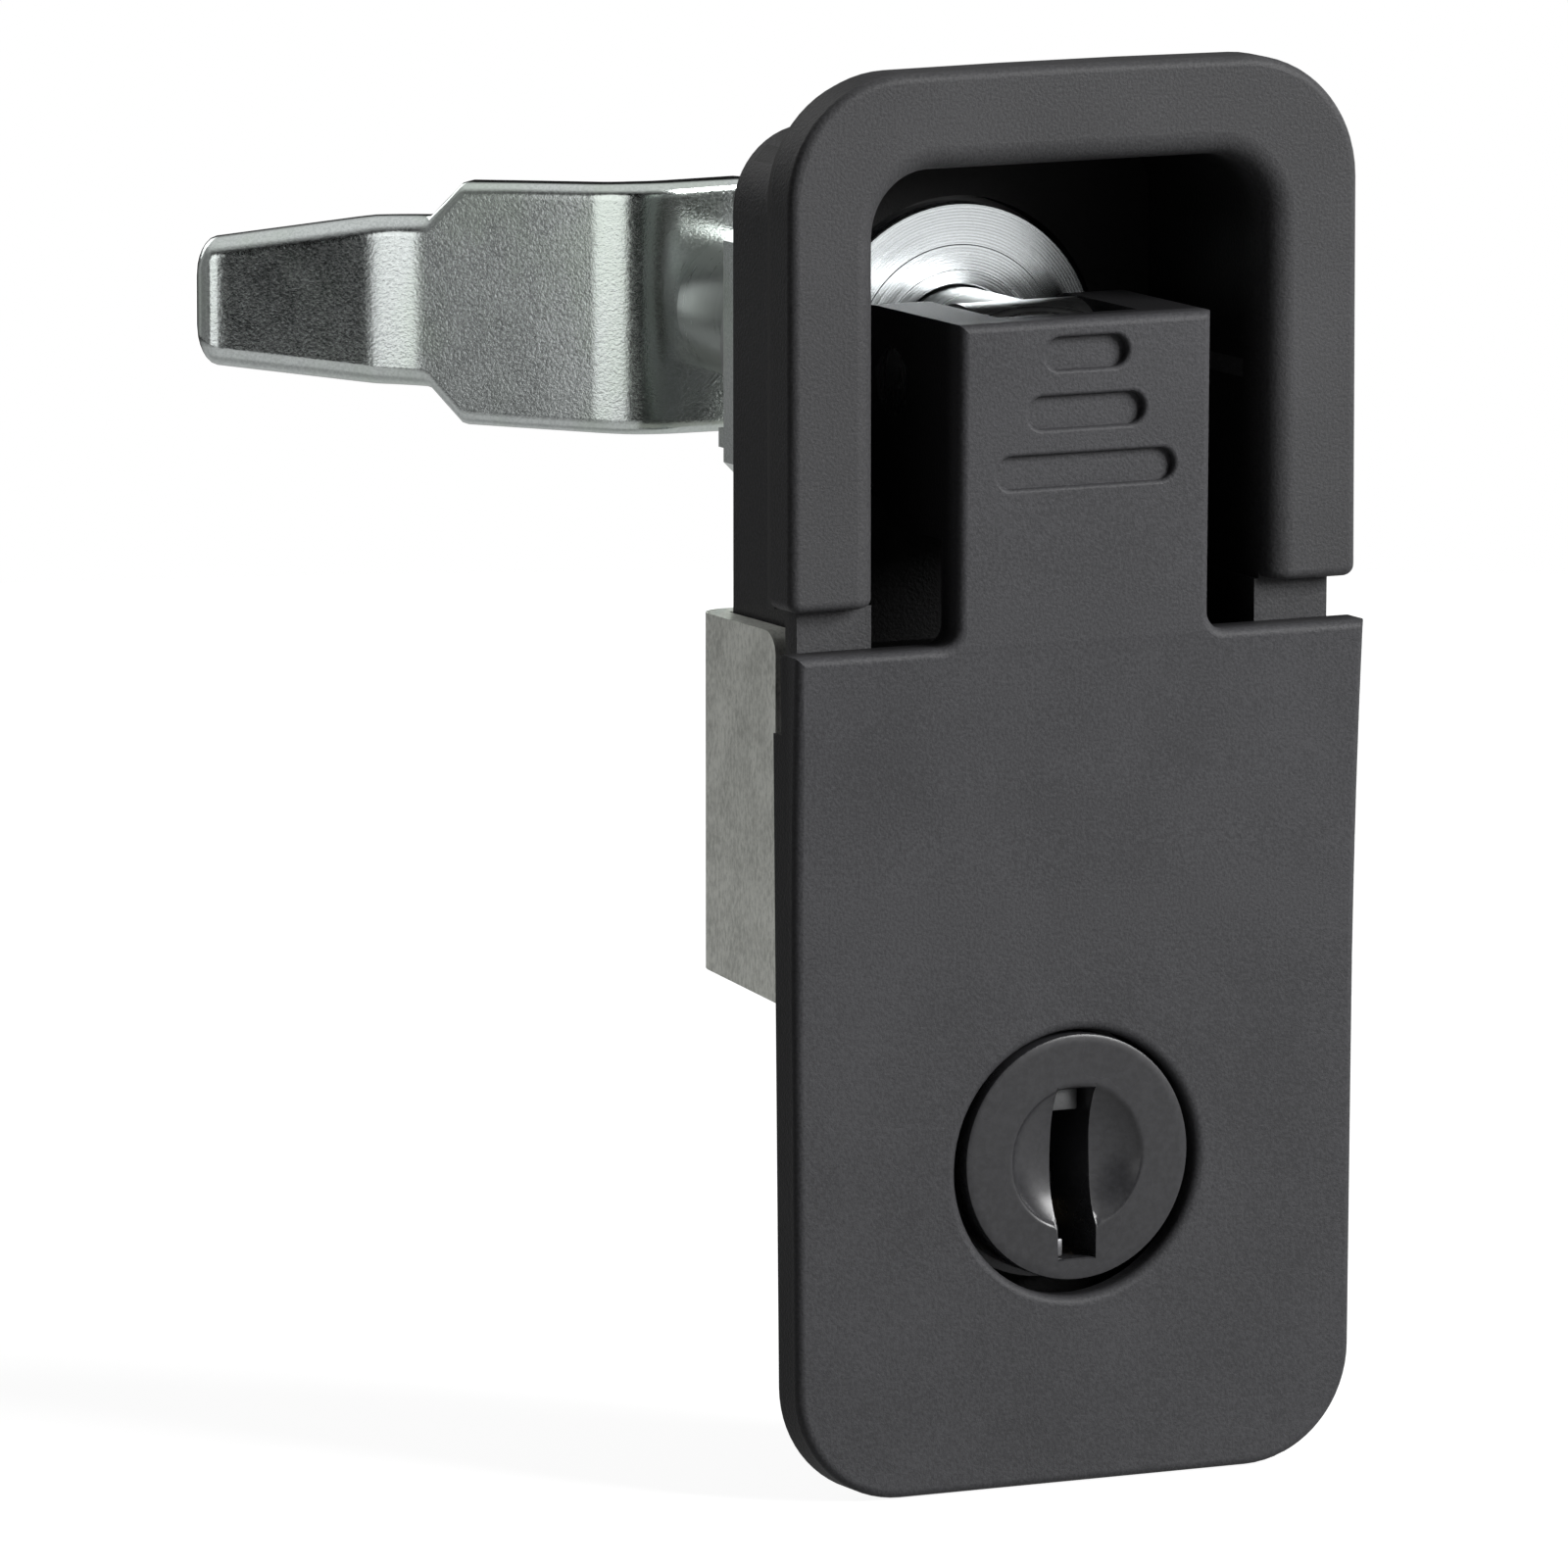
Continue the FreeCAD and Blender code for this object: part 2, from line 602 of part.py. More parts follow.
rounded(gasket, "TopCorners", "rim_corner - gasket_inset", depth_edges_at(
    (f"0 - {RIM_HALF} + gasket_inset", "rim_top - rim_crown - gasket_inset"),
    (f"{RIM_HALF} - gasket_inset", "rim_top - rim_crown - gasket_inset")))
hollow(gasket, "Window", rectangle(
    f"0 - {TUB_HALF} - land_margin", f"0 - {LOW_BOTTOM} - land_margin",
    f"{TUB_HALF} + land_margin", f"{TUB_TOP} + land_margin"), "0 - gasket_thick", "0")

# Lever: the T-shaped plate, its side skirts, two ears with their eccentric rear faces, and the hook
PLATE_ARC_DROP = f"(plate_flat_drop + {SHOULDER_DROP}) / 2"
PLATE_SAG = "((shoulder_front - plate_front) / 4)"
SKIRT_TOP = f"({SHOULDER_DROP} + skirt_start)"

lever = body_named("lever_handle")
across(lever, "Section", [
    ("0 - tab_front", EAR_TOP),
    ("0 - shoulder_front", f"0 - {SHOULDER_DROP}",
     f"0 - plate_front - {PLATE_SAG}", f"0 - {PLATE_ARC_DROP}"),
    ("0 - plate_front", "0 - plate_flat_drop"),
    ("0 - plate_front", f"0 - {PLATE_BOTTOM}"),
    ("0 - skirt_back", f"0 - {PLATE_BOTTOM}"),
    ("0 - skirt_back", f"0 - {SKIRT_TOP}"),
    ("0 - plate_inner", f"0 - {SKIRT_TOP}"),
    ("0 - plate_inner", EAR_TOP),
], PLATE_HALF)
trim = empty_sketch(lever, "TrimOutline", FRONT_PLANE, "rim_width")
outline(trim, rectangle("0 - rim_width", f"0 - 2 * {PLATE_BOTTOM}", "rim_width", PLATE_BOTTOM))
outline(trim, [
    (f"0 - {TAB_HALF}", EAR_TOP),
    (f"0 - {TAB_HALF}", f"0 - {SHOULDER_DROP}"),
    (f"0 - {PLATE_HALF}", f"0 - {SHOULDER_DROP}"),
    (f"0 - {PLATE_LOW_HALF}", f"0 - {PLATE_BOTTOM}"),
    (PLATE_LOW_HALF, f"0 - {PLATE_BOTTOM}"),
    (PLATE_HALF, f"0 - {SHOULDER_DROP}"),
    (TAB_HALF, f"0 - {SHOULDER_DROP}"),
    (TAB_HALF, EAR_TOP),
])
settled(lever, "Pocket", "Trim", trim, Length="2 * rim_width")
hollow(lever, "Underside", [
    (f"skirt_wall - {PLATE_HALF}", f"0 - {SHOULDER_DROP}"),
    (f"skirt_wall - {PLATE_LOW_HALF}", f"skirt_wall - {PLATE_BOTTOM}"),
    (f"{PLATE_LOW_HALF} - skirt_wall", f"skirt_wall - {PLATE_BOTTOM}"),
    (f"{PLATE_HALF} - skirt_wall", f"0 - {SHOULDER_DROP}"),
], "0 - plate_inner", "0 - skirt_back")
rounded(lever, "UndersideCorners", "plate_corner - skirt_wall", depth_edges_at(
    (f"skirt_wall - {PLATE_LOW_HALF}", f"skirt_wall - {PLATE_BOTTOM}"),
    (f"{PLATE_LOW_HALF} - skirt_wall", f"skirt_wall - {PLATE_BOTTOM}")))
rounded(lever, "PlateCorners", "plate_corner", depth_edges_at(
    (f"0 - {PLATE_LOW_HALF}", f"0 - {PLATE_BOTTOM}"), (PLATE_LOW_HALF, f"0 - {PLATE_BOTTOM}")))
rounded(lever, "TabRoots", "tab_root_round", depth_edges_at(
    (f"0 - {TAB_HALF}", f"0 - {SHOULDER_DROP}"), (TAB_HALF, f"0 - {SHOULDER_DROP}")))
EAR_RATE = "((ear_reach - ear_lifted_reach) / 90 * 57.29578)"


def ear_point(turn):
    """A point of the ear's rear face, whose reach shrinks evenly as the lever turns."""
    reach = f"(ear_reach - (ear_reach - ear_lifted_reach) * {turn} / 90)"
    along = f"cos({turn} * 1deg)"
    aside = f"sin({turn} * 1deg)"
    depth = f"pin_set_back + {reach} * {along} + {EAR_RATE} * {aside}"
    height = f"{reach} * {aside} - {EAR_RATE} * {along}"
    return depth, height


ear_sides = {
    "Left": f"({EAR_THICK} / 2 - {TAB_HALF})",
    "Right": f"({TAB_HALF} - {EAR_THICK} / 2)",
}
for side, middle in ear_sides.items():
    ear = outline(empty_sketch(lever, side + "EarOutline", SIDE_PLANE, middle), [
        ("0 - plate_inner", EAR_TOP),
        ("0 - plate_inner", "0 - ear_root_drop"),
        ("pin_set_back", "0 - ear_root_drop"),
        ear_point(0) + ear_point(22.5),
        ear_point(45) + ear_point(67.5),
        ear_point(90),
    ])
    settled(lever, "Pad", side + "Ear", ear, Length=EAR_THICK, Midplane=True)
across(lever, "Hook", [
    ("0 - plate_inner", f"0 - {HOOK_BOTTOM}"),
    (HOOK_BACK, f"0 - {HOOK_BOTTOM}"),
    (HOOK_BACK, f"0 - {HOOK_TOP}"),
    (HOOK_TOE_FRONT, f"0 - {HOOK_TOP}"),
    (HOOK_TOE_FRONT, f"hook_thick - {HOOK_BOTTOM}"),
    ("0 - plate_inner", f"hook_thick - {HOOK_BOTTOM}"),
], "hook_width / 2")
pin_hole = ring(empty_sketch(lever, "PinHoleOutline", SIDE_PLANE, "0"),
                "pin_diameter / 2", "pin_set_back", "0")
settled(lever, "Pocket", "PinHole", pin_hole, Length=f"4 * {TAB_HALF}", Midplane=True)
drilled(lever, "LockHole", f"{HEAD_RADIUS} + plate_hole_gap", "0 - tab_front", "0 - plate_inner",
        "0", "0 - lock_drop - plate_hole_low")
rounded(lever, "LockHoleEdge", "plate_hole_round", lambda edge: (
    edge.BoundBox.YMax < -value("plate_front") + FINE
    and abs(edge.CenterOfMass.z + value("lock_drop + plate_hole_low")) < FINE))
rounded(lever, "FrontEdges", "plate_edge_round", lambda edge: (
    edge.BoundBox.YMax < -value("plate_front") + FINE and not straight_run(edge, WIDTH)
    or abs(edge.BoundBox.ZMax + value(PLATE_BOTTOM)) < FINE
    and edge.BoundBox.YMax < -value("plate_inner")
    or abs(edge.BoundBox.ZMin - value(EAR_TOP)) < FINE
    and edge.BoundBox.YMax < -value("plate_front")))


def groove(name, width, row):
    """A pill-shaped finger groove."""
    half = f"({width}) / 2 - groove_height / 2"
    middle = f"(groove_top - groove_height / 2 - {row} * groove_pitch)"
    low = f"{middle} - groove_height / 2"
    high = f"{middle} + groove_height / 2"
    sketch = outline(empty_sketch(lever, name + "Outline", FRONT_PLANE, "tab_front - groove_depth"), [
        (f"0 - ({half})", low),
        (half, low, f"({half}) + groove_height / 2", middle),
        (half, high),
        (f"0 - ({half})", high, f"0 - ({half}) - groove_height / 2", middle),
    ])
    return settled(lever, "Pocket", name, sketch, Length="2 * groove_depth", Reversed=True)


groove("FirstGroove", "groove_first", 0)
groove("SecondGroove", "groove_second", 1)
groove("ThirdGroove", "groove_third", 2)
rounded(lever, "GrooveEdges", "groove_edge_round", lambda edge: (
    edge.BoundBox.YMax < -value("shoulder_front")
    and edge.BoundBox.ZMax < value("groove_top") + FINE
    and abs(edge.CenterOfMass.x) < value("groove_third / 2")))

# Pin of the lever, a plain steel dowel through both ears and the spindle's eye
pin = named(doc.addObject("Part::Cylinder", "lever_pin"), "lever_pin")
pin.setExpression("Radius", bound("pin_diameter / 2"))
pin.setExpression("Height", bound(f"2 * ({TAB_HALF} - pin_end_gap)"))
pin.Placement = FreeCAD.Placement(FreeCAD.Vector(), FreeCAD.Rotation(FreeCAD.Vector(0, 1, 0), 90))
pin.setExpression("Placement.Base.x", bound(f"pin_end_gap - {TAB_HALF}"))
pin.setExpression("Placement.Base.y", bound("pin_set_back"))

# Spindle: turned steel with a flattened round eye in front and a stud for the nut behind
WASHER_FRONT = f"({SPIGOT_BACK} + washer_gap)"
WASHER_BACK = f"({WASHER_FRONT} + washer_thick)"
CAM_BACK = "(cam_front + cam_sheet)"
NUT_FRONT = f"({CAM_BACK} + lock_washer_thick)"
STUD_BACK = f"({NUT_FRONT} + nut_thick + stud_tail)"

spindle = body_named("spindle")
turned(spindle, "Bar", [
    ("0", "pin_set_back"),
    (SPINDLE_RADIUS, "pin_set_back"),
    (SPINDLE_RADIUS, CAM_BACK),
    ("stud_diameter / 2", CAM_BACK),
    ("stud_diameter / 2", STUD_BACK),
    ("0", STUD_BACK),
])
eye = ring(empty_sketch(spindle, "EyeOutline", SIDE_PLANE, "0"), SPINDLE_RADIUS, "pin_set_back", "0")
settled(spindle, "Pad", "Eye", eye, Length=f"2 * {EYE_HALF}", Midplane=True)
for side, left, right in (("Left", f"0 - {SPINDLE_RADIUS}", f"0 - {EYE_HALF}"),
                          ("Right", EYE_HALF, SPINDLE_RADIUS)):
    hollow(spindle, side + "EyeFlat", rectangle(left, f"0 - {SPINDLE_RADIUS}", right, SPINDLE_RADIUS),
           f"pin_set_back - {SPINDLE_RADIUS}", "pin_set_back + eye_flat_length")
for side, low, high in (("Upper", "cam_flat_width / 2", SPINDLE_RADIUS),
                        ("Lower", f"0 - {SPINDLE_RADIUS}", "0 - cam_flat_width / 2")):
    hollow(spindle, side + "CamFlat", rectangle(f"0 - {SPINDLE_RADIUS}", low, SPINDLE_RADIUS, high),
           "cam_front", CAM_BACK)
eye_hole = ring(empty_sketch(spindle, "EyeHoleOutline", SIDE_PLANE, "0"),
                "pin_diameter / 2 + running_gap", "pin_set_back", "0")
settled(spindle, "Pocket", "EyeHole", eye_hole, Length="2 * spindle_diameter", Midplane=True)
turned(spindle, "RetainerGroove", [
    (f"{SPINDLE_RADIUS} - retainer_groove", WASHER_BACK),
    (SPINDLE_RADIUS, WASHER_BACK),
    (SPINDLE_RADIUS, f"{WASHER_BACK} + retainer_thick"),
    (f"{SPINDLE_RADIUS} - retainer_groove", f"{WASHER_BACK} + retainer_thick"),
], "Groove")

# Thrust disc, its black washer and the seal, one behind the other in the boss
disc = body_named("thrust_disc")
turned(disc, "Disc", [
    (f"{SPINDLE_RADIUS} + disc_hole_gap", DISC_FRONT),
    ("disc_step_radius", DISC_FRONT),
    ("disc_step_radius", f"{DISC_FRONT} + disc_step"),
    ("disc_diameter / 2", f"{DISC_FRONT} + disc_step"),
    ("disc_diameter / 2", DISC_BACK),
    (f"{SPINDLE_RADIUS} + disc_hole_gap", DISC_BACK),
])
disc_washer = body_named("disc_washer")
turned(disc_washer, "Washer", [
    (f"{SPINDLE_RADIUS} + disc_hole_gap", DISC_BACK),
    (f"{DISC_RECESS_RADIUS} - running_gap", DISC_BACK),
    (f"{DISC_RECESS_RADIUS} - running_gap", RECESS_BACK),
    (f"{SPINDLE_RADIUS} + disc_hole_gap", RECESS_BACK),
])
seal = named(doc.addObject("Part::Torus", "spindle_seal"), "spindle_seal")
seal.setExpression("Radius1", bound(f"{SPINDLE_RADIUS} + running_gap + ring_wire / 2"))
seal.setExpression("Radius2", bound("ring_wire / 2"))
seal.Placement = FreeCAD.Placement(FreeCAD.Vector(), FreeCAD.Rotation(FreeCAD.Vector(1, 0, 0), 90))
seal.setExpression("Placement.Base.y", bound(f"({RECESS_BACK} + {SEAL_BACK}) / 2"))

# Stop plate on the spigot of the boss, with one corner lug bent to the rear
STOP_HALF = "stop_width / 2"
stop_plate = body_named("stop_plate")
plate(stop_plate, "Square", rectangle(
    f"0 - {STOP_HALF}", f"0 - {STOP_HALF}", STOP_HALF, STOP_HALF), BOSS_BACK, SPIGOT_BACK)
rounded(stop_plate, "CutCorners", "stop_corner", depth_edges_at(
    (f"0 - {STOP_HALF}", f"0 - {STOP_HALF}"), (STOP_HALF, f"0 - {STOP_HALF}"),
    (STOP_HALF, STOP_HALF), (f"0 - {STOP_HALF}", STOP_HALF)), "Chamfer")
LUG_LEFT = f"(stop_lug_inset - {STOP_HALF})"
LUG_LOW = f"(stop_corner + stop_lug_rise - {STOP_HALF})"
plate(stop_plate, "Lug", rectangle(
    LUG_LEFT, LUG_LOW, f"{LUG_LEFT} + stop_lug_width", f"{LUG_LOW} + stop_lug_height"),
    BOSS_BACK, f"{SPIGOT_BACK} + stop_lug_length")
drilled(stop_plate, "SpigotHole", SPIGOT_RADIUS, BOSS_BACK, SPIGOT_BACK)

# Spring washer and the open ring that keeps it on the spindle
spring_washer = body_named("spring_washer")
turned(spring_washer, "Washer", [
    (f"{SPINDLE_RADIUS} + running_gap", WASHER_FRONT),
    ("washer_radius", WASHER_FRONT),
    ("washer_radius", WASHER_BACK),
    (f"{SPINDLE_RADIUS} + running_gap", WASHER_BACK),
])
retainer = body_named("retaining_ring")
turned(retainer, "Ring", [
    (f"{SPINDLE_RADIUS} - retainer_groove", WASHER_BACK),
    ("retainer_radius", WASHER_BACK),
    ("retainer_radius", f"{WASHER_BACK} + retainer_thick"),
    (f"{SPINDLE_RADIUS} - retainer_groove", f"{WASHER_BACK} + retainer_thick"),
])
hollow(retainer, "Mouth", rectangle(
    "0 - retainer_mouth / 2", "0 - retainer_radius", "retainer_mouth / 2", "0"),
    WASHER_BACK, f"{WASHER_BACK} + retainer_thick")

# Return spring: one wire wound between the boss and the spring washer
spring_length = value(f"{WASHER_FRONT} - running_gap - {SPRING_FRONT} - spring_wire")
coil = Part.makeHelix(spring_length / value("spring_turns"), spring_length, value("spring_mean_radius"))
wire_end = Part.Wire(Part.Circle(
    FreeCAD.Vector(value("spring_mean_radius"), 0, 0), FreeCAD.Vector(0, 1, 0),
    value("spring_wire / 2")).toShape())
spring = named(doc.addObject("Part::Feature", "return_spring"), "return_spring")
spring.Shape = Part.Wire(coil.Edges).makePipeShell([wire_end], True, True)
spring.Placement = FreeCAD.Placement(
    FreeCAD.Vector(0, value(f"{SPRING_FRONT} + spring_wire / 2"), 0),
    FreeCAD.Rotation(FreeCAD.Vector(1, 0, 0), -90))

# Cam: a bent strip of zinc-plated steel that catches behind the frame
SLANT_ANGLE = "atan(cam_slant_depth / cam_slant_run)"
TIP_ANGLE = "atan(cam_tip_depth / cam_tip_run)"
MITRE = f"(cam_sheet * tan({SLANT_ANGLE} / 2))"
TIP_MITRE = f"(cam_sheet * tan(({SLANT_ANGLE} - {TIP_ANGLE}) / 2))"
BEND_X = f"(0 - lock_washer_radius - cam_bend_gap - (cam_sheet + cam_bend_round) * tan({SLANT_ANGLE} / 2))"
KNEE_X = f"({BEND_X} - cam_slant_run)"
TIP_X = f"({KNEE_X} - cam_tip_run)"
KNEE_Y = "(cam_front + cam_slant_depth)"
TIP_Y = f"({KNEE_Y} + cam_tip_depth)"

cam = body_named("cam")
strip = empty_sketch(cam, "StripOutline", TOP_PLANE, "0")
outline(strip, [
    ("cam_root_width / 2", "cam_front"),
    (BEND_X, "cam_front"),
    (KNEE_X, KNEE_Y),
    (TIP_X, TIP_Y),
    (f"{TIP_X} + cam_sheet * sin({TIP_ANGLE})", f"{TIP_Y} + cam_sheet * cos({TIP_ANGLE})"),
    (f"{KNEE_X} + {TIP_MITRE} * cos({TIP_ANGLE}) + cam_sheet * sin({TIP_ANGLE})",
     f"{KNEE_Y} - {TIP_MITRE} * sin({TIP_ANGLE}) + cam_sheet * cos({TIP_ANGLE})"),
    (f"{BEND_X} + {MITRE}", "cam_front + cam_sheet"),
    ("cam_root_width / 2", "cam_front + cam_sheet"),
])
settled(cam, "Pad", "Strip", strip, Length="cam_root_width", Midplane=True)
rounded(cam, "OuterBends", "cam_bend_round + cam_sheet", height_edges_at(
    (BEND_X, "cam_front"),
    (f"{KNEE_X} + {TIP_MITRE} * cos({TIP_ANGLE}) + cam_sheet * sin({TIP_ANGLE})",
     f"{KNEE_Y} - {TIP_MITRE} * sin({TIP_ANGLE}) + cam_sheet * cos({TIP_ANGLE})")))
rounded(cam, "InnerBends", "cam_bend_round", height_edges_at(
    (f"{BEND_X} + {MITRE}", "cam_front + cam_sheet"), (KNEE_X, KNEE_Y)))
shape = empty_sketch(cam, "ShapeOutline", FRONT_PLANE, "cam_sheet - cam_front")
outline(shape, rectangle("0 - 3 * cam_root_width", "0 - cam_root_width",
                         "cam_root_width", "cam_root_width"))
outline(shape, [
    ("0", "cam_root_width / 2"),
    (BEND_X, "cam_bend_width / 2"),
    (f"{KNEE_X} + cam_shoulder", "cam_bend_width / 2"),
    (KNEE_X, "cam_tip_root_width / 2"),
    (TIP_X, "cam_tip_width / 2"),
    (TIP_X, "0 - cam_tip_width / 2"),
    (KNEE_X, "0 - cam_tip_root_width / 2"),
    (f"{KNEE_X} + cam_shoulder", "0 - cam_bend_width / 2"),
    (BEND_X, "0 - cam_bend_width / 2"),
    ("0", "0 - cam_root_width / 2", "cam_root_width / 2", "0"),
])
settled(cam, "Pocket", "Shape", shape, Length="2 * cam_front")
rounded(cam, "TipCorners", "cam_tip_corner", lambda edge: (
    edge.BoundBox.XMax < value(f"{TIP_X} + cam_sheet")
    and abs(edge.CenterOfMass.z) > value("cam_tip_width / 4")))
bore_flat = "cam_flat_width / 2"
bore_side = "sqrt(spindle_diameter * spindle_diameter - cam_flat_width * cam_flat_width) / 2"
hollow(cam, "SpindleHole", [
    (bore_side, bore_flat),
    (f"0 - {bore_side}", bore_flat, f"0 - {SPINDLE_RADIUS}", "0"),
    (f"0 - {bore_side}", f"0 - {bore_flat}"),
    (bore_side, f"0 - {bore_flat}", SPINDLE_RADIUS, "0"),
], "cam_front", CAM_BACK)

# Lock washer and nut that hold the cam against the spindle's shoulder
cam_washer = body_named("cam_lock_washer")
turned(cam_washer, "Washer", [
    ("stud_diameter / 2", CAM_BACK),
    ("lock_washer_radius", CAM_BACK),
    ("lock_washer_radius", NUT_FRONT),
    ("stud_diameter / 2", NUT_FRONT),
])
cam_nut = body_named("cam_nut")
nut_side = "nut_across_flats / 2 / sqrt(3)"
plate(cam_nut, "Hexagon", [
    (f"2 * {nut_side}", "0"),
    (nut_side, "nut_across_flats / 2"),
    (f"0 - {nut_side}", "nut_across_flats / 2"),
    (f"0 - 2 * {nut_side}", "0"),
    (f"0 - {nut_side}", "0 - nut_across_flats / 2"),
    (nut_side, "0 - nut_across_flats / 2"),
], NUT_FRONT, f"{NUT_FRONT} + nut_thick")
drilled(cam_nut, "Bore", "stud_diameter / 2", CAM_BACK, STUD_BACK)

# Clamp bracket: a U of sheet steel round the tub that grips the panel from behind
BRACKET_ROOM = f"({TUB_HALF} + bracket_gap)"
BRACKET_HALF = f"({BRACKET_ROOM} + bracket_sheet)"
bracket = body_named("clamp_bracket")
across(bracket, "Block", [
    ("bracket_front", "0 - bracket_top"),
    ("bracket_front", f"0 - {BRACKET_BOTTOM}"),
    (BRACKET_BACK, f"bracket_slant - {BRACKET_BOTTOM}"),
    (BRACKET_BACK, "0 - bracket_top"),
], BRACKET_HALF)
hollow(bracket, "Channel", rectangle(
    f"0 - {BRACKET_ROOM}", f"0 - {BRACKET_BOTTOM}", BRACKET_ROOM, "0 - bracket_top"),
    "bracket_front", TUB_BACK)
rounded(bracket, "OuterBends", "bracket_bend + bracket_sheet", lambda edge: (
    straight_run(edge, HEIGHT) and abs(edge.CenterOfMass.y - value(BRACKET_BACK)) < FINE))
rounded(bracket, "InnerBends", "bracket_bend", lambda edge: (
    straight_run(edge, HEIGHT) and abs(edge.CenterOfMass.y - value(TUB_BACK)) < FINE))
rounded(bracket, "FrontCorners", "bracket_corner", lambda edge: (
    straight_run(edge, WIDTH)
    and abs(edge.CenterOfMass.y - value("bracket_front")) < FINE
    and abs(edge.CenterOfMass.z + value("bracket_top")) < FINE))
for side, height in SCREW_HEIGHTS.items():
    drilled(bracket, side + "Hole", "bracket_screw_diameter / 2", TUB_BACK, BRACKET_BACK, "0", height)

# Screws of the bracket: two alike, with flat round heads
screw = body_named("bracket_screws")
for side, height in SCREW_HEIGHTS.items():
    peg(screw, side + "Shank", "bracket_screw_diameter / 2", SCREW_TIP, BRACKET_BACK, "0", height)
    peg(screw, side + "Head", "bracket_screw_head / 2", BRACKET_BACK,
        f"{BRACKET_BACK} + bracket_screw_head_thick", "0", height)

# Lock barrel, pressed into its boss and kept there by a spring clip
barrel = body_named("lock_barrel")
turned(barrel, "Sleeve", [
    (BARREL_BORE, BARREL_FRONT),
    (BARREL_RADIUS, BARREL_FRONT),
    (BARREL_RADIUS, BARREL_BACK),
    (BARREL_BORE, BARREL_BACK),
], height="0 - lock_drop")

barrel_clip = body_named("barrel_clip", z="0 - lock_drop")
turned(barrel_clip, "Ring", [
    (BARREL_RADIUS, "lock_boss_back"),
    (f"{BARREL_RADIUS} + clip_reach", "lock_boss_back"),
    (f"{BARREL_RADIUS} + clip_reach", "lock_boss_back + clip_thick"),
    (BARREL_RADIUS, "lock_boss_back + clip_thick"),
])
hollow(barrel_clip, "Mouth", rectangle(
    f"0 - {PLUG_RADIUS}", f"0 - {BARREL_RADIUS} - clip_reach", PLUG_RADIUS, "0"),
    "lock_boss_back", "lock_boss_back + clip_thick")

# Lock plug: its wide head shows in the lever's hole, and the key slot runs along it
plug = body_named("lock_plug", z="0 - lock_drop")
turned(plug, "Turning", [
    ("0", f"{HEAD_FRONT} + plug_dish_depth",
     "plug_dish_diameter / 4", f"{HEAD_FRONT} + plug_dish_depth * 3 / 4"),
    ("plug_dish_diameter / 2", HEAD_FRONT),
    (f"{HEAD_RADIUS} - plug_edge", HEAD_FRONT),
    (HEAD_RADIUS, f"{HEAD_FRONT} + plug_edge"),
    (HEAD_RADIUS, HEAD_BACK),
    (PLUG_RADIUS, HEAD_BACK),
    (PLUG_RADIUS, PLUG_BACK),
    ("tail_diameter / 2", PLUG_BACK),
    ("tail_diameter / 2", f"{PLUG_BACK} + tail_length"),
    ("0", f"{PLUG_BACK} + tail_length"),
])
hollow(plug, "KeySlot", rectangle(
    "0 - key_slot_width / 2", f"key_slot_floor - {PLUG_RADIUS}", "key_slot_width / 2", "key_slot_above"),
    HEAD_FRONT, f"{WAFERS_BACK} + running_gap")
wafers = body_named("wafers", z="0 - lock_drop")
WAFER_HALF = "(wafer_width / 2)"
WAFER_TOP = f"(sqrt({PLUG_RADIUS} * {PLUG_RADIUS} - {WAFER_HALF} * {WAFER_HALF}) - wafer_inset)"
wafer_rows = range(int(value("wafer_count")))
for row in wafer_rows:
    front = f"(wafer_first + {row} * wafer_pitch)"
    hollow(plug, f"WaferSlot{row}", rectangle(
        f"0 - {WAFER_HALF} - wafer_gap", f"0 - {PLUG_RADIUS}", f"{WAFER_HALF} + wafer_gap", PLUG_RADIUS),
        f"{front} - wafer_gap", f"{front} + wafer_thick + wafer_gap")
    wafer = outline(empty_sketch(wafers, f"Wafer{row}Outline", FRONT_PLANE, f"0 - {front}"), rectangle(
        f"0 - {WAFER_HALF}", f"0 - {WAFER_TOP}", WAFER_HALF, WAFER_TOP))
    outline(wafer, rectangle(
        "0 - wafer_window_width / 2", "0 - wafer_window_height / 2",
        "wafer_window_width / 2", "wafer_window_height / 2"))
    settled(wafers, "Pad", f"Wafer{row}", wafer, Length="wafer_thick", Reversed=True)

# Washer riveted on the plug's tail, which keeps the plug in the barrel
plug_washer = body_named("plug_tail_washer", z="0 - lock_drop")
turned(plug_washer, "Washer", [
    ("tail_diameter / 2", PLUG_BACK),
    (BARREL_RADIUS, PLUG_BACK),
    (BARREL_RADIUS, f"{PLUG_BACK} + clip_thick"),
    ("tail_diameter / 2", f"{PLUG_BACK} + clip_thick"),
])

# Tongue behind the plug's head: it turns down behind the toe of the lever's hook
tongue = body_named("lock_tongue", z="0 - lock_drop")
plate(tongue, "Blade", rectangle(
    "0", "0 - tongue_width / 2", TONGUE_REACH, "tongue_width / 2"), TONGUE_FRONT, TONGUE_BACK)
peg(tongue, "Hub", HEAD_RADIUS, TONGUE_FRONT, TONGUE_BACK)
drilled(tongue, "Bore", PLUG_RADIUS, TONGUE_FRONT, TONGUE_BACK)

# Every piece has to be sound before any of them is written
doc.recompute()
for item in doc.Objects:
    faults = {"Invalid", "Error"} & set(item.State)
    assert not faults, f"{item.Label}: {item.State}"
for node in nodes:
    assert not node.Shape.isNull() and node.Shape.isValid(), f"{node.Label}: shape is not sound"

os.makedirs("parts", exist_ok=True)
for node in nodes:
    node.Shape.exportStep(f"parts/{node.Label}.step")
    box = node.Shape.BoundBox
    print(f"{node.Label:18s} solids {len(node.Shape.Solids)} volume {node.Shape.Volume:9.2f}"
          f"  X {box.XMin:6.2f} {box.XMax:6.2f}  Y {box.YMin:6.2f} {box.YMax:6.2f}"
          f"  Z {box.ZMin:6.2f} {box.ZMax:6.2f}")
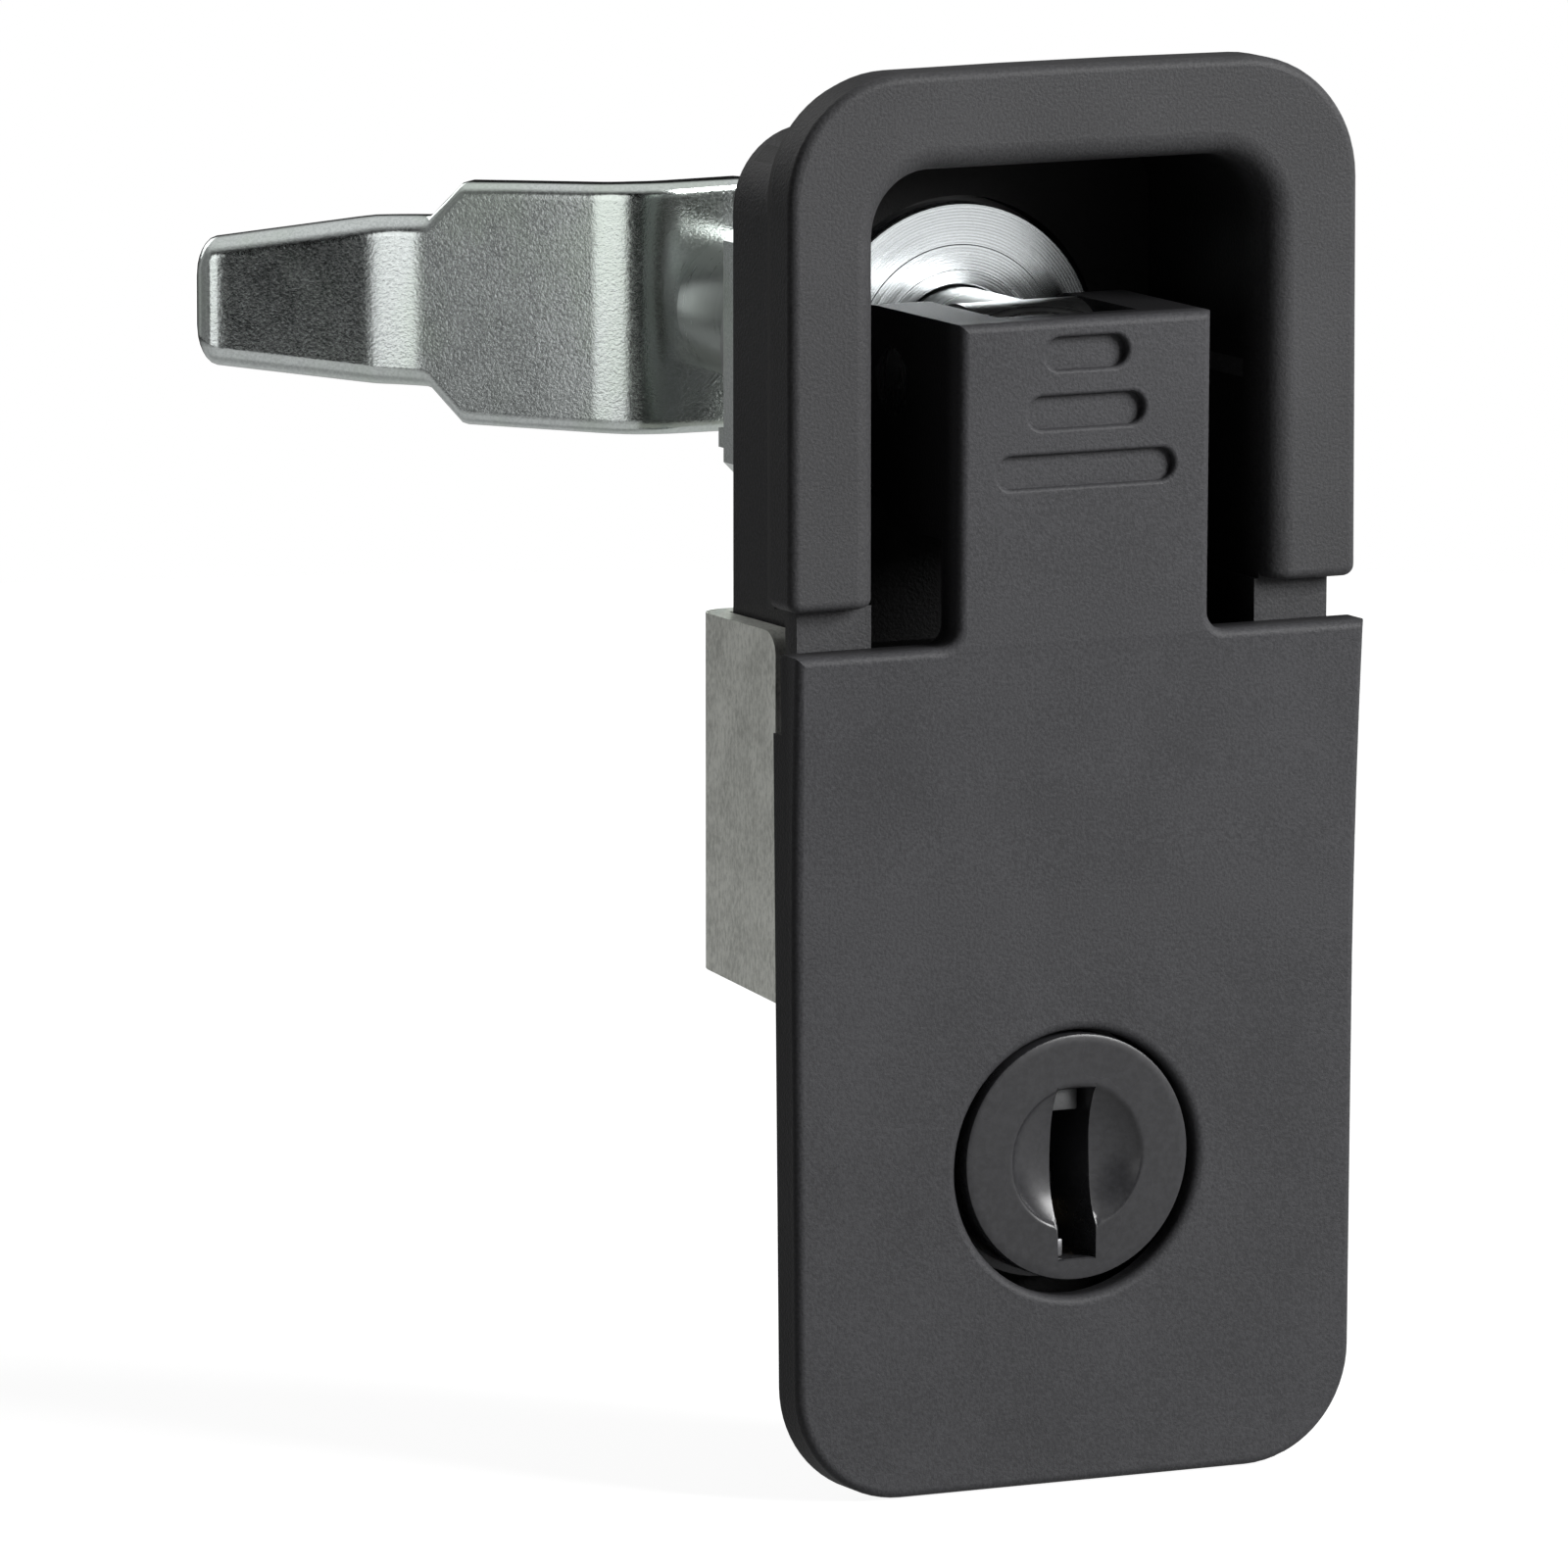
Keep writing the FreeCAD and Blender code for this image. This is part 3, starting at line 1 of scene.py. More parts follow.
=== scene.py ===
import math

import bmesh
import bpy
from mathutils import Matrix, Vector


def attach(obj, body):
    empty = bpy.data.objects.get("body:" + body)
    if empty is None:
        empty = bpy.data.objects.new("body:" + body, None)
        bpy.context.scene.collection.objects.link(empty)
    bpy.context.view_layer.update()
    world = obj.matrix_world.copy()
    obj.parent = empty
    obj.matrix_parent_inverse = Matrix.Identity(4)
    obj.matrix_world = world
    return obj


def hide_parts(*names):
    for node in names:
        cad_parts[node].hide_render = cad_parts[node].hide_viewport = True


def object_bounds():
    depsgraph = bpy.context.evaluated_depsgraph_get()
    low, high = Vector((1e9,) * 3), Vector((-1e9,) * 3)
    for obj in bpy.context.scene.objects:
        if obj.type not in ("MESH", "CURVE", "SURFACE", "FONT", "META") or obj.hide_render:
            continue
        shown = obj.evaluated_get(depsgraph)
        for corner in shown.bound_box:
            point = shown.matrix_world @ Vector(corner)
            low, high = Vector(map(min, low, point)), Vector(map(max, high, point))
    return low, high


# Compression cabinet lock on a white studio floor. Metres, in the frame of the solids:
# X to the right, Y to the rear, Z up, the origin on the spindle's axis in the panel's plane.
# The pieces' own sizes are millimetres, times MM where Blender takes them.
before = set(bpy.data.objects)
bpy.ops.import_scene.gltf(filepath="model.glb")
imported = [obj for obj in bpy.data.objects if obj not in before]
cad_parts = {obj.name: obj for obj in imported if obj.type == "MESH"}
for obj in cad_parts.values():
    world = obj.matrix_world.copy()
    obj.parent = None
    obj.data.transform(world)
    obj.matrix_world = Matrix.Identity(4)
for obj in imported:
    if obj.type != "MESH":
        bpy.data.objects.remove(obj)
solid_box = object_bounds()
MM = 0.001

# Camera: a long lens, a little above the lock and to its left, so the cam and the clamp
# bracket show behind the front. The rim's front, on the spindle's axis, lies right of the
# picture's middle and above it.
azimuth = math.radians(-26.5)
elevation = math.radians(8.65)
distance = 825 * MM
picture_side = 1600
focal_pixels = 16500
film_width = 36
rim_across, rim_down = 1099, 395.6
away = Vector((math.sin(azimuth) * math.cos(elevation),
               -math.cos(azimuth) * math.cos(elevation), math.sin(elevation)))
rightward = Vector((math.cos(azimuth), math.sin(azimuth), 0))
upward = away.cross(rightward)
rim_front = Vector((0, -3.2 * MM, 0))
shift = rightward * (picture_side / 2 - rim_across) + upward * (rim_down - picture_side / 2)
aim = rim_front + shift * distance / focal_pixels
camera = bpy.data.objects.new("Camera", bpy.data.cameras.new("Camera"))
camera.data.sensor_width = film_width
camera.data.lens = film_width * focal_pixels / picture_side
camera.data.clip_start = 50 * MM
camera.location = aim + away * distance
camera.rotation_euler = away.to_track_quat("Z", "Y").to_euler()
bpy.context.scene.collection.objects.link(camera)
bpy.context.scene.camera = camera
bpy.context.scene.view_settings.view_transform = "Standard"

# Studio: one soft box near the lock, to the right and a little above, gives the front faces
# a plain level. A very weak one stands far to the left, and one behind, above the lock.
soft_boxes = {
    "KeyBox": {"place": (0.29, -0.34, 0.20), "width": 0.26, "watts": 4.5},
    "FillBox": {"place": (-1.0, -0.25, 0.1), "width": 0.6, "watts": 0.06},
    "RearBox": {"place": (-0.2, 0.95, 0.4), "width": 0.6, "watts": 2.0},
}
lock_middle = Vector((0, 0.01, -0.02))
for name, lamp in soft_boxes.items():
    box = bpy.data.objects.new(name, bpy.data.lights.new(name, "AREA"))
    box.data.shape = "SQUARE"
    box.data.size = lamp["width"]
    box.data.energy = lamp["watts"]
    box.location = lamp["place"]
    box.rotation_euler = (box.location - lock_middle).to_track_quat("Z", "Y").to_euler()
    bpy.context.scene.collection.objects.link(box)

# Background: plain white to the camera, and a dim even light on everything matt. What is
# glossy mirrors a dark studio with pale cards: a large one in front on the right, a narrow
# strip on the left, grey ones at the left and behind, the ceiling, and one on the right.


class Channel:
    """A value that changes over a surface. Sums and products of channels add Math nodes."""

    def __init__(self, surface, socket):
        self.surface = surface
        self.socket = socket

    def __add__(self, other):
        return self.surface.math("ADD", self, other)

    def __sub__(self, other):
        return self.surface.math("SUBTRACT", self, other)

    def __rsub__(self, other):
        return self.surface.math("SUBTRACT", other, self)

    def __mul__(self, other):
        return self.surface.math("MULTIPLY", self, other)

    def __truediv__(self, other):
        return self.surface.math("DIVIDE", self, other)

    def __rtruediv__(self, other):
        return self.surface.math("DIVIDE", other, self)

    def __lt__(self, other):
        return self.surface.math("LESS_THAN", self, other)

    def __gt__(self, other):
        return self.surface.math("GREATER_THAN", self, other)

    __radd__ = __add__
    __rmul__ = __mul__


class Surface:
    """The node tree of one material, or of the world."""

    def __init__(self, block):
        block.use_nodes = True
        self.block = block
        self.nodes = block.node_tree.nodes
        self.links = block.node_tree.links

    def feed(self, node, sockets):
        for key, source in sockets.items():
            if isinstance(source, Channel):
                self.links.new(source.socket, node.inputs[key])
            else:
                node.inputs[key].default_value = source

    def node(self, kind, settings, sockets, out=0):
        made = self.nodes.new(kind)
        for name, setting in settings.items():
            setattr(made, name, setting)
        self.feed(made, sockets)
        return Channel(self, made.outputs[out]) if made.outputs else None

    def math(self, operation, *operands):
        return self.node("ShaderNodeMath", {"operation": operation}, dict(enumerate(operands)))

    def mixed(self, share, low, high):
        """A colour between two, each a channel or a plain (red, green, blue)."""
        low, high = ((*tint, 1) if isinstance(tint, tuple) else tint for tint in (low, high))
        return self.node("ShaderNodeMix", {"data_type": "RGBA"}, {0: share, 6: low, 7: high}, 2)

    def axes(self, vector):
        split = self.node("ShaderNodeSeparateXYZ", {}, {0: vector}).socket.node
        return [Channel(self, socket) for socket in split.outputs]

    def noise(self, place, scale, detail, rough):
        return self.node("ShaderNodeTexNoise", {}, {
            "Vector": place, "Scale": scale, "Detail": detail, "Roughness": rough})

    def stretched(self, place, scale):
        return self.node("ShaderNodeMapping", {}, {"Vector": place, "Scale": scale})

    def stepped(self, channel, low, high):
        """0 below low, 1 above high, smooth between."""
        return self.node("ShaderNodeMapRange", {"interpolation_type": "SMOOTHSTEP"}, {
            "Value": channel, "From Min": low, "From Max": high})


world = Surface(bpy.data.worlds.new("Studio"))
bpy.context.scene.world = world.block
world.nodes.clear()
camera_sees, glossy_sees, clear_sees = (
    world.node("ShaderNodeLightPath", {}, {}, ray)
    for ray in ("Is Camera Ray", "Is Glossy Ray", "Is Transmission Ray"))
outward = world.node("ShaderNodeTexCoord", {}, {}, "Generated")


def card(direction, edge, full):
    """1 where the world shows a card that lies in the direction, 0 outside its soft edge."""
    towards = world.node("ShaderNodeVectorMath", {"operation": "DOT_PRODUCT"}, {
        0: outward, 1: direction}, "Value")
    return world.stepped(towards, edge, full)


upwards = (0, 0, 1)
studio_dark, matt_light = 0.008, 0.06
front_card = 1.25 * card((0.62, -0.78, 0.1), 0.78, 0.98) * (1 - card(upwards, 0.1, 0.28))
left_strip = 1.4 * card((-0.719, -0.695, 0), 0.94, 0.966)
left_card = 0.22 * card((-1, 0.35, 0), 0.6, 1.0)
rear_card = 0.16 * card((-0.441, 0.885, 0), 0.8, 0.98)
ceiling = 0.8 * card(upwards, 0.3, 0.9)
right_card = 1.8 * card((0.899, 0.438, 0), 0.9, 0.97)
mirrored = studio_dark + front_card + left_strip + left_card + rear_card + ceiling + right_card
white = camera_sees + clear_sees
strength = white + (1 - white) * (glossy_sees * mirrored + (1 - glossy_sees) * matt_light)
world.node("ShaderNodeOutputWorld", {}, {"Surface": world.node(
    "ShaderNodeBackground", {}, {"Color": (1, 1, 1, 1), "Strength": strength})})

# Floor: a round pale board just under the lock, white to the camera, that keeps the lock's
# soft shadow. It is small, so metal that faces down mirrors the background past its edge.
board_radius, shadow_ends, rim_starts = 0.34, 0.1, 0.3
pale, pale_rim = (0.3, 0.3, 0.3), (0.06, 0.06, 0.06)
glow_middle, glow_rim = (0.92, 0.92, 0.92), (1.0, 1.0, 1.0)
mirrored_share = 0.35
floor_mesh = bmesh.new()
bmesh.ops.create_circle(floor_mesh, cap_ends=True, radius=board_radius, segments=96)
bmesh.ops.translate(floor_mesh, vec=(0, 0, solid_box[0][2] - 0.1 * MM), verts=floor_mesh.verts)
floor = bpy.data.objects.new("Floor", bpy.data.meshes.new("Floor"))
floor_mesh.to_mesh(floor.data)
floor_mesh.free()
bpy.context.scene.collection.objects.link(floor)
paper = Surface(bpy.data.materials.new("white_paper"))
paper.nodes.clear()
board_x, board_y, _ = paper.axes(paper.node("ShaderNodeTexCoord", {}, {}, "Object"))
rim = paper.stepped(board_x * board_x + board_y * board_y, shadow_ends ** 2, rim_starts ** 2)
lit = paper.node("ShaderNodeBsdfDiffuse", {}, {"Color": paper.mixed(rim, pale, pale_rim)})
shadowed = paper.node("ShaderNodeBsdfDiffuse", {}, {"Color": (*pale, 1)})
glow = paper.node("ShaderNodeEmission", {}, {
    "Color": paper.mixed(rim, glow_middle, glow_rim), "Strength": 1.0})
to_camera = paper.node("ShaderNodeAddShader", {}, {0: shadowed, 1: glow})
camera_ray = paper.node("ShaderNodeLightPath", {}, {}, "Is Camera Ray")
glossy_ray = paper.node("ShaderNodeLightPath", {}, {}, "Is Glossy Ray")
paper.node("ShaderNodeOutputMaterial", {}, {"Surface": paper.node("ShaderNodeMixShader", {}, {
    0: camera_ray + mirrored_share * glossy_ray * (1 - rim), 1: lit, 2: to_camera})})
floor.data.materials.append(paper.block)

# Housing: a zinc die casting with a raised rim round the finger recess, a flange and a tub.
# It is powder-coated satin black all over, with a fine pebbled grain.


def finish_of(name, **constants):
    """A new material with its shader's constant sockets set, and its surface coordinates."""
    surface = Surface(bpy.data.materials.new(name))
    surface.shader = surface.nodes["Principled BSDF"]
    surface.feed(surface.shader, {
        key.replace("_", " "): value for key, value in constants.items()})
    surface.place = surface.node("ShaderNodeTexCoord", {}, {}, "Object")
    return surface


def dressed(surface, *nodes):
    """Gives the solids of these nodes the surface's material."""
    for node in nodes:
        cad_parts[node].material_slots[0].material = surface.block


def tinted(tone, share):
    return tuple(part * share for part in tone)


def coated(name, tone, roughness, grain, relief, gloss=0.14, painted_shade_zone=None):
    """Fine-textured powder coat: a dark colour with faint clouds and a pebbled surface.

    Inside a recess the colour is painted darker, as painted shade: there it is only a share
    of the tone, which begins at one depth and is full at another.
    """
    coat = finish_of(name, Metallic=0.0, Specular_IOR_Level=gloss)
    pebbles = coat.noise(coat.place, 1 / (grain * MM), 3.0, 0.6)
    clouds = coat.noise(coat.place, 1 / (9 * MM), 3.0, 0.55)
    shade = coat.stepped(pebbles * 0.7 + clouds * 0.3, 0.32, 0.68)
    colour = coat.mixed(shade, tinted(tone, 0.78), tinted(tone, 1.22))
    # Painted shade: inside the zone the colour darkens to a share of the tone, from one depth
    # to another.
    if painted_shade_zone:
        half = painted_shade_zone["half_width"] * MM
        across, along, up = coat.axes(coat.place)
        inside = ((across * across < half * half) * (up < painted_shade_zone["top"] * MM)
                  * (along < painted_shade_zone["floor"] * MM))
        deep = coat.stepped(along, painted_shade_zone["begins"] * MM, painted_shade_zone["full"] * MM)
        colour = coat.mixed(inside * deep, colour, tinted(tone, painted_shade_zone["share"]))
    bump = coat.node("ShaderNodeBump", {}, {
        "Strength": 1.0, "Distance": relief * MM, "Height": pebbles})
    coat.feed(coat.shader, {
        "Base Color": colour,
        "Roughness": roughness + 0.1 * (clouds - 0.5),
        "Normal": bump})
    return coat


# Inside the finger recess the housing's coat is painted darker: painted shade.
dressed(coated("black_coat_housing", tone=(0.045, 0.045, 0.047), roughness=0.5, grain=0.16,
               relief=0.035, painted_shade_zone={"half_width": 11.4, "top": 11.6, "floor": 10.9,
                                     "share": 0.22, "begins": -2.4, "full": 0.6}), "housing")

# Lever: a second casting, coated like the housing: the T-shaped plate, its tab with three
# finger grooves, and two ears that reach into the recess. Behind its face the coat's colour
# is painted darker: painted shade.
dressed(coated("black_coat_lever", tone=(0.046, 0.046, 0.049), roughness=0.5, grain=0.16,
               relief=0.035, painted_shade_zone={"half_width": 17, "top": 20, "floor": 30, "share": 0.3,
                                     "begins": -3.7, "full": -2.5}), "lever_handle")

# Gasket and seals: the flat rubber gasket behind the flange, the spindle's O-ring, and the
# plastic washer that the thrust disc runs on.


def rubbery(name, tone, roughness):
    """Moulded rubber or plastic: nearly black, dull, with a faint bloom in patches."""
    skin = finish_of(name, Metallic=0.0, Specular_IOR_Level=0.4)
    bloom = skin.noise(skin.place, 1 / (2.5 * MM), 4.0, 0.6)
    pores = skin.noise(skin.place, 1 / (0.1 * MM), 2.0, 0.5)
    bump = skin.node("ShaderNodeBump", {}, {
        "Strength": 0.8, "Distance": 0.006 * MM, "Height": pores})
    skin.feed(skin.shader, {
        "Base Color": skin.mixed(bloom, tinted(tone, 0.7), tinted(tone, 1.4)),
        "Roughness": roughness + 0.15 * (bloom - 0.5),
        "Normal": bump})
    return skin


dressed(rubbery("black_rubber", (0.012, 0.012, 0.012), 0.62), "panel_gasket", "spindle_seal")
dressed(rubbery("black_plastic", (0.010, 0.010, 0.011), 0.42), "disc_washer")

# Cam: a stamped strip of zinc-plated steel, 2.25 mm thick, bent to the rear beside the nut
# and bent partly back at the knee. Its edges are rolled round, most of all on the tapered tip.


def plated(name, tone, roughness, mottle, tints=0.5, relief=0.004):
    """Zinc-plated steel: speckled with fine crystals, cloudy, with faint greenish flushes."""
    metal = finish_of(name, Metallic=1.0)
    clouds = metal.noise(metal.place, 1 / (mottle * MM), 4.0, 0.6)
    drawn = metal.stretched(metal.place, (1.0, 1.6, 0.7))
    flush = metal.noise(drawn, 1 / (3.1 * mottle * MM), 3.0, 0.5)
    crystals = metal.noise(metal.place, 1 / (0.17 * MM), 2.0, 0.7)
    speckle = metal.stepped(crystals * 0.8 + clouds * 0.2, 0.38, 0.62)
    base = metal.mixed(speckle, tinted(tone, 0.84), tone)
    greenish = (tone[0] * 0.84, tone[1] * 0.90, tone[2] * 0.80)
    bump = metal.node("ShaderNodeBump", {}, {
        "Strength": 1.0, "Distance": relief * MM, "Height": crystals})
    metal.feed(metal.shader, {
        "Base Color": metal.mixed(metal.stepped(flush, 0.42, 0.68) * tints, base, greenish),
        "Roughness": roughness + 0.08 * (clouds - 0.5) + 0.16 * (crystals - 0.5),
        "Normal": bump})
    return metal


def shaped(name, mesh, surface, sharp=34):
    """An object at the origin from a bmesh, smooth but for the edges sharper than sharp."""
    bmesh.ops.remove_doubles(mesh, verts=mesh.verts, dist=1e-4 * MM)
    bmesh.ops.recalc_face_normals(mesh, faces=mesh.faces)
    for face in mesh.faces:
        face.smooth = True
    piece = bpy.data.objects.new(name, bpy.data.meshes.new(name))
    mesh.to_mesh(piece.data)
    mesh.free()
    piece.data.set_sharp_from_angle(angle=math.radians(sharp))
    piece.data.materials.append(surface.block)
    bpy.context.scene.collection.objects.link(piece)
    return piece


def ringed(loops, height=0.0, hollow=False):
    """Joins loops of (x, depth, z), and closes both ends, or joins them round a bore.

    Each corner meets the same corner of the next loop, which bridge_loops doesn't keep to.
    """
    mesh = bmesh.new()
    rows = [[mesh.verts.new((x * MM, depth * MM, (z + height) * MM)) for x, depth, z in loop]
            for loop in loops]
    for row, following in zip(rows, rows[1:] + rows[:1] if hollow else rows[1:]):
        for index, vertex in enumerate(row):
            corner = (index + 1) % len(row)
            mesh.faces.new((vertex, row[corner], following[corner], following[index]))
    if not hollow:
        mesh.faces.new(rows[0])
        mesh.faces.new(rows[-1])
    bmesh.ops.recalc_face_normals(mesh, faces=mesh.faces)
    return mesh


zinc = plated("zinc_sheet", (0.66, 0.70, 0.69), 0.16, 1.5, relief=0.007)
cam_front, cam_thick, root_radius = 35.5, 2.25, 6.75
bend_x, bend_round = -6.1, 4.0
knee_x, knee_y, knee_round = -15.79, 45.44, 8.5
tip_x, tip_y, tip_corner = -25.34, 49.4, 1.0
root_roll, bend_roll, knee_roll, roll_growth = 0.5, 0.6, 0.9, 0.008
shoulder_x, neck_x, taper_x = -13.05, -14.4, -16.6
cam_sides = [(0, root_radius), (bend_x, 6.7), (shoulder_x, 6.5), (neck_x, 4.6),
             (taper_x, 4.52), (tip_x, 3.32)]
slant = math.atan2(knee_y - cam_front, bend_x - knee_x)
tip_slant = math.atan2(tip_y - knee_y, knee_x - tip_x)


def cam_half(x):
    """Half the cam's width at x: a round root, then its sides, with corners at the tip."""
    if x > 0:
        return math.sqrt(max(root_radius ** 2 - x * x, 0.01))
    for (start, first), (end, last) in zip(cam_sides, cam_sides[1:]):
        if x > end:
            break
    straight = first + (last - first) * (x - start) / (end - start)
    into = max(tip_x + tip_corner - x, 0)
    return straight - tip_corner + math.sqrt(max(tip_corner ** 2 - into ** 2, 0))


def facing(angle):
    """The front face's normal where the strip has turned to the rear by the angle."""
    return -math.sin(angle), -math.cos(angle)


def cam_section(x, y, angle, rolled, nose=0.0):
    """A loop across the strip, whose front lies at x and y, with its four edges rolled.

    The nose takes the loop in on every side. Beside each rolled edge, a short flat step
    keeps the faces flat.
    """
    normal_x, normal_y = facing(angle)
    half, deep = cam_half(x) - nose, cam_thick - 2 * nose
    edge = max(min(rolled - nose, deep / 2 - 0.02, half - 0.02), 0.03)
    flat = min(0.25, (deep - 2 * edge) / 3, (half - edge) / 3)
    quarter = [(edge - edge * math.cos(turn), edge - edge * math.sin(turn))
               for turn in (math.pi / 8 * step for step in range(5))]
    corner = [(0, edge + flat), *quarter, (edge + flat, 0)]
    loop = []
    for rear, side in ((False, 1), (True, 1), (True, -1), (False, -1)):
        to_face = rear == (side > 0)
        for depth, inset in corner[::-1] if to_face else corner:
            reach = nose + (deep - depth if rear else depth)
            loop.append((x - reach * normal_x, y - reach * normal_y, side * (half - inset)))
    return loop


root_turns = [math.radians(4 + 5.5 * step) for step in range(16)]
root_loops = [cam_section(root_radius * math.cos(turn), cam_front, 0, root_roll)
              for turn in root_turns]
bend_loops = []
bend_outside = cam_thick + bend_round
bend_start = bend_x + bend_outside * math.tan(slant / 2)
for step in range(17):
    turned = slant * step / 16
    normal_x, normal_y = facing(turned)
    bend_loops.append(cam_section(
        bend_start + bend_outside * normal_x,
        cam_front + bend_outside + bend_outside * normal_y, turned, bend_roll))
shoulder_loops = [
    cam_section(x, knee_y + (knee_x - x) * math.tan(slant), slant, rolled)
    for x, rolled in ((-11.0, 0.6), (shoulder_x + 0.15, 0.65), (shoulder_x - 0.05, 0.67),
                      (-13.7, 0.75), (neck_x + 0.05, 0.85))]
knee_loops = []
set_back = knee_round * math.tan((slant - tip_slant) / 2)
normal_x, normal_y = facing(slant)
centre_x = knee_x + set_back * math.cos(slant) + knee_round * normal_x
centre_y = knee_y - set_back * math.sin(slant) + knee_round * normal_y
for step in range(13):
    turned = slant + (tip_slant - slant) * step / 12
    normal_x, normal_y = facing(turned)
    knee_loops.append(cam_section(
        centre_x - knee_round * normal_x, centre_y - knee_round * normal_y, turned,
        knee_roll + roll_growth * step))
tip_loops = []
for left in (6.0, 3.0, 1.5, 1.0, 0.7, 0.45, 0.27, 0.14, 0.05, 0.0):
    x = tip_x + left
    nose = tip_corner - math.sqrt(tip_corner ** 2 - max(tip_corner - left, 0) ** 2)
    tip_loops.append(cam_section(
        x, knee_y + (knee_x - x) * math.tan(tip_slant), tip_slant, tip_corner, nose))
cam_loops = root_loops + bend_loops + shoulder_loops + knee_loops + tip_loops
cam = shaped("cam_stamped", ringed(cam_loops), zinc, 50)
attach(cam, "spindle")
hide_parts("cam")

# Stop plate: a square with cut corners and a lug, cut from the same plated sheet as the cam.
# It sits on the spigot of the boss, in front of the spindle's thick washer.
dressed(zinc, "stop_plate")

# Clamp bracket: a U of duller galvanised sheet that grips the panel, held by two screws. It
# shows fine rolling lines along its height, pale flecks and cloudy patches.
sheet = finish_of("dull_sheet", Metallic=1.0)
lines = sheet.noise(sheet.stretched(sheet.place, (1.0, 1.0, 0.05)), 1 / (0.12 * MM), 3.0, 0.6)
flecks = sheet.noise(sheet.stretched(sheet.place, (1.0, 1.0, 0.45)), 1 / (0.22 * MM), 3.0, 0.7)
patches = sheet.noise(sheet.place, 1 / (2.2 * MM), 5.0, 0.65)
sheet.feed(sheet.shader, {
    "Base Color": sheet.mixed(sheet.stepped(flecks * 0.65 + patches * 0.35, 0.34, 0.62),
                              (0.50, 0.51, 0.47), (0.77, 0.78, 0.73)),
    "Roughness": 0.48 + 0.2 * (lines - 0.5) + 0.2 * (patches - 0.5),
    "Normal": sheet.node("ShaderNodeBump", {}, {
        "Strength": 1.0, "Distance": 0.006 * MM, "Height": lines * 0.5 + flecks})})
dressed(sheet, "clamp_bracket")

# Thrust disc: turned and plated steel, that the lever's ears press on. Two shallow steps run
# round its front, and its edges are broken.


def machined(name, tone, roughness, feed_pitch):
    """Turned steel: fine tool rings round the front-to-back axis."""
    metal = finish_of(name, Metallic=1.0)
    across, along, up = metal.axes(metal.place)
    path = metal.math("SQRT", across * across + up * up) + along
    wander = metal.noise(metal.place, 1 / (1.7 * MM), 3.0, 0.6)
    rings = metal.math("SINE", (path / (feed_pitch * MM) + wander * 0.4) * 2 * math.pi)
    coarse = metal.node("ShaderNodeTexNoise", {"noise_dimensions": "1D"}, {
        "W": path / (0.35 * MM), "Scale": 1.0, "Detail": 3.0})
    metal.feed(metal.shader, {
        "Base Color": metal.mixed(coarse, tinted(tone, 0.82), tone),
        "Roughness": roughness + 0.16 * (coarse - 0.5) + 0.1 * (wander - 0.5),
        "Normal": metal.node("ShaderNodeBump", {}, {
            "Strength": 1.0, "Distance": 0.0024 * MM, "Height": rings * 0.3 + coarse})})
    return metal


def lathed(stations, facets=96):
    """A closed loop of (radius, depth) in millimetres, turned round the front-to-back axis."""
    mesh = bmesh.new()
    loop = [mesh.verts.new((radius * MM, depth * MM, 0)) for radius, depth in stations]
    for pair in zip(loop, loop[1:] + loop[:1]):
        mesh.edges.new(pair)
    bmesh.ops.spin(mesh, geom=loop + list(mesh.edges), cent=(0, 0, 0), axis=(0, 1, 0),
                   dvec=(0, 0, 0), angle=2 * math.pi, steps=facets, use_merge=True)
    bmesh.ops.remove_doubles(mesh, verts=mesh.verts, dist=1e-4 * MM)
    bmesh.ops.recalc_face_normals(mesh, faces=mesh.faces)
    return mesh


def eased(mesh, offset):
    """Bevels every edge where the mesh turns by more than 60 degrees."""
    limit = math.radians(60)
    edges = [edge for edge in mesh.edges
             if edge.is_manifold and edge.calc_face_angle() > limit]
    bmesh.ops.bevel(mesh, geom=edges, offset=offset * MM, segments=2, profile=0.5,
                    affect="EDGES", clamp_overlap=True, material=-1)
    return mesh


disc_bore, disc_radius, disc_front, disc_rear = 3.85, 8.1, 10.2, 11.7
disc_outline = [(disc_bore, disc_front), (4.6, disc_front), (4.63, 10.22), (5.9, 10.22),
                (5.95, 10.25), (disc_radius, 10.25), (disc_radius, disc_rear),
                (disc_bore, disc_rear)]
disc = shaped("thrust_disc_turned", eased(lathed(disc_outline), 0.08),
              machined("turned_disc", (0.62, 0.65, 0.66), 0.24, 0.16), 12)
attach(disc, "housing")
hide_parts("thrust_disc")

# Spindle, its pin and the thick washer: bright turned steel. The retaining ring, the return
# spring and the barrel's clip are hardened steel, nearly black. The lock's tongue has the
# same nearly black finish as painted shade, where it shows in a gap.
dressed(machined("turned_steel", (0.44, 0.45, 0.45), 0.30, 0.2), "spindle", "spring_washer")
dressed(machined("pin_steel", (0.60, 0.61, 0.61), 0.28, 0.15), "lever_pin")
dressed(plated("dark_steel", (0.16, 0.155, 0.15), 0.36, 1.2, 0.2),
        "retaining_ring", "return_spring", "barrel_clip", "lock_tongue")

# Small plated hardware: the cam's hexagon nut with its corners turned off, the toothed lock
# washer under it, the washer on the plug's tail, and two cross-recessed pan-head screws.


def about(radius, depth, facets=72):
    """A loop round the front-to-back axis; the radius may change with the angle, and the
    depth with the radius."""
    turns = [2 * math.pi * step / facets for step in range(facets)]
    reach = [radius(turn) if callable(radius) else radius for turn in turns]
    return [(out * math.cos(turn), depth(out) if callable(depth) else depth,
             out * math.sin(turn)) for out, turn in zip(reach, turns)]


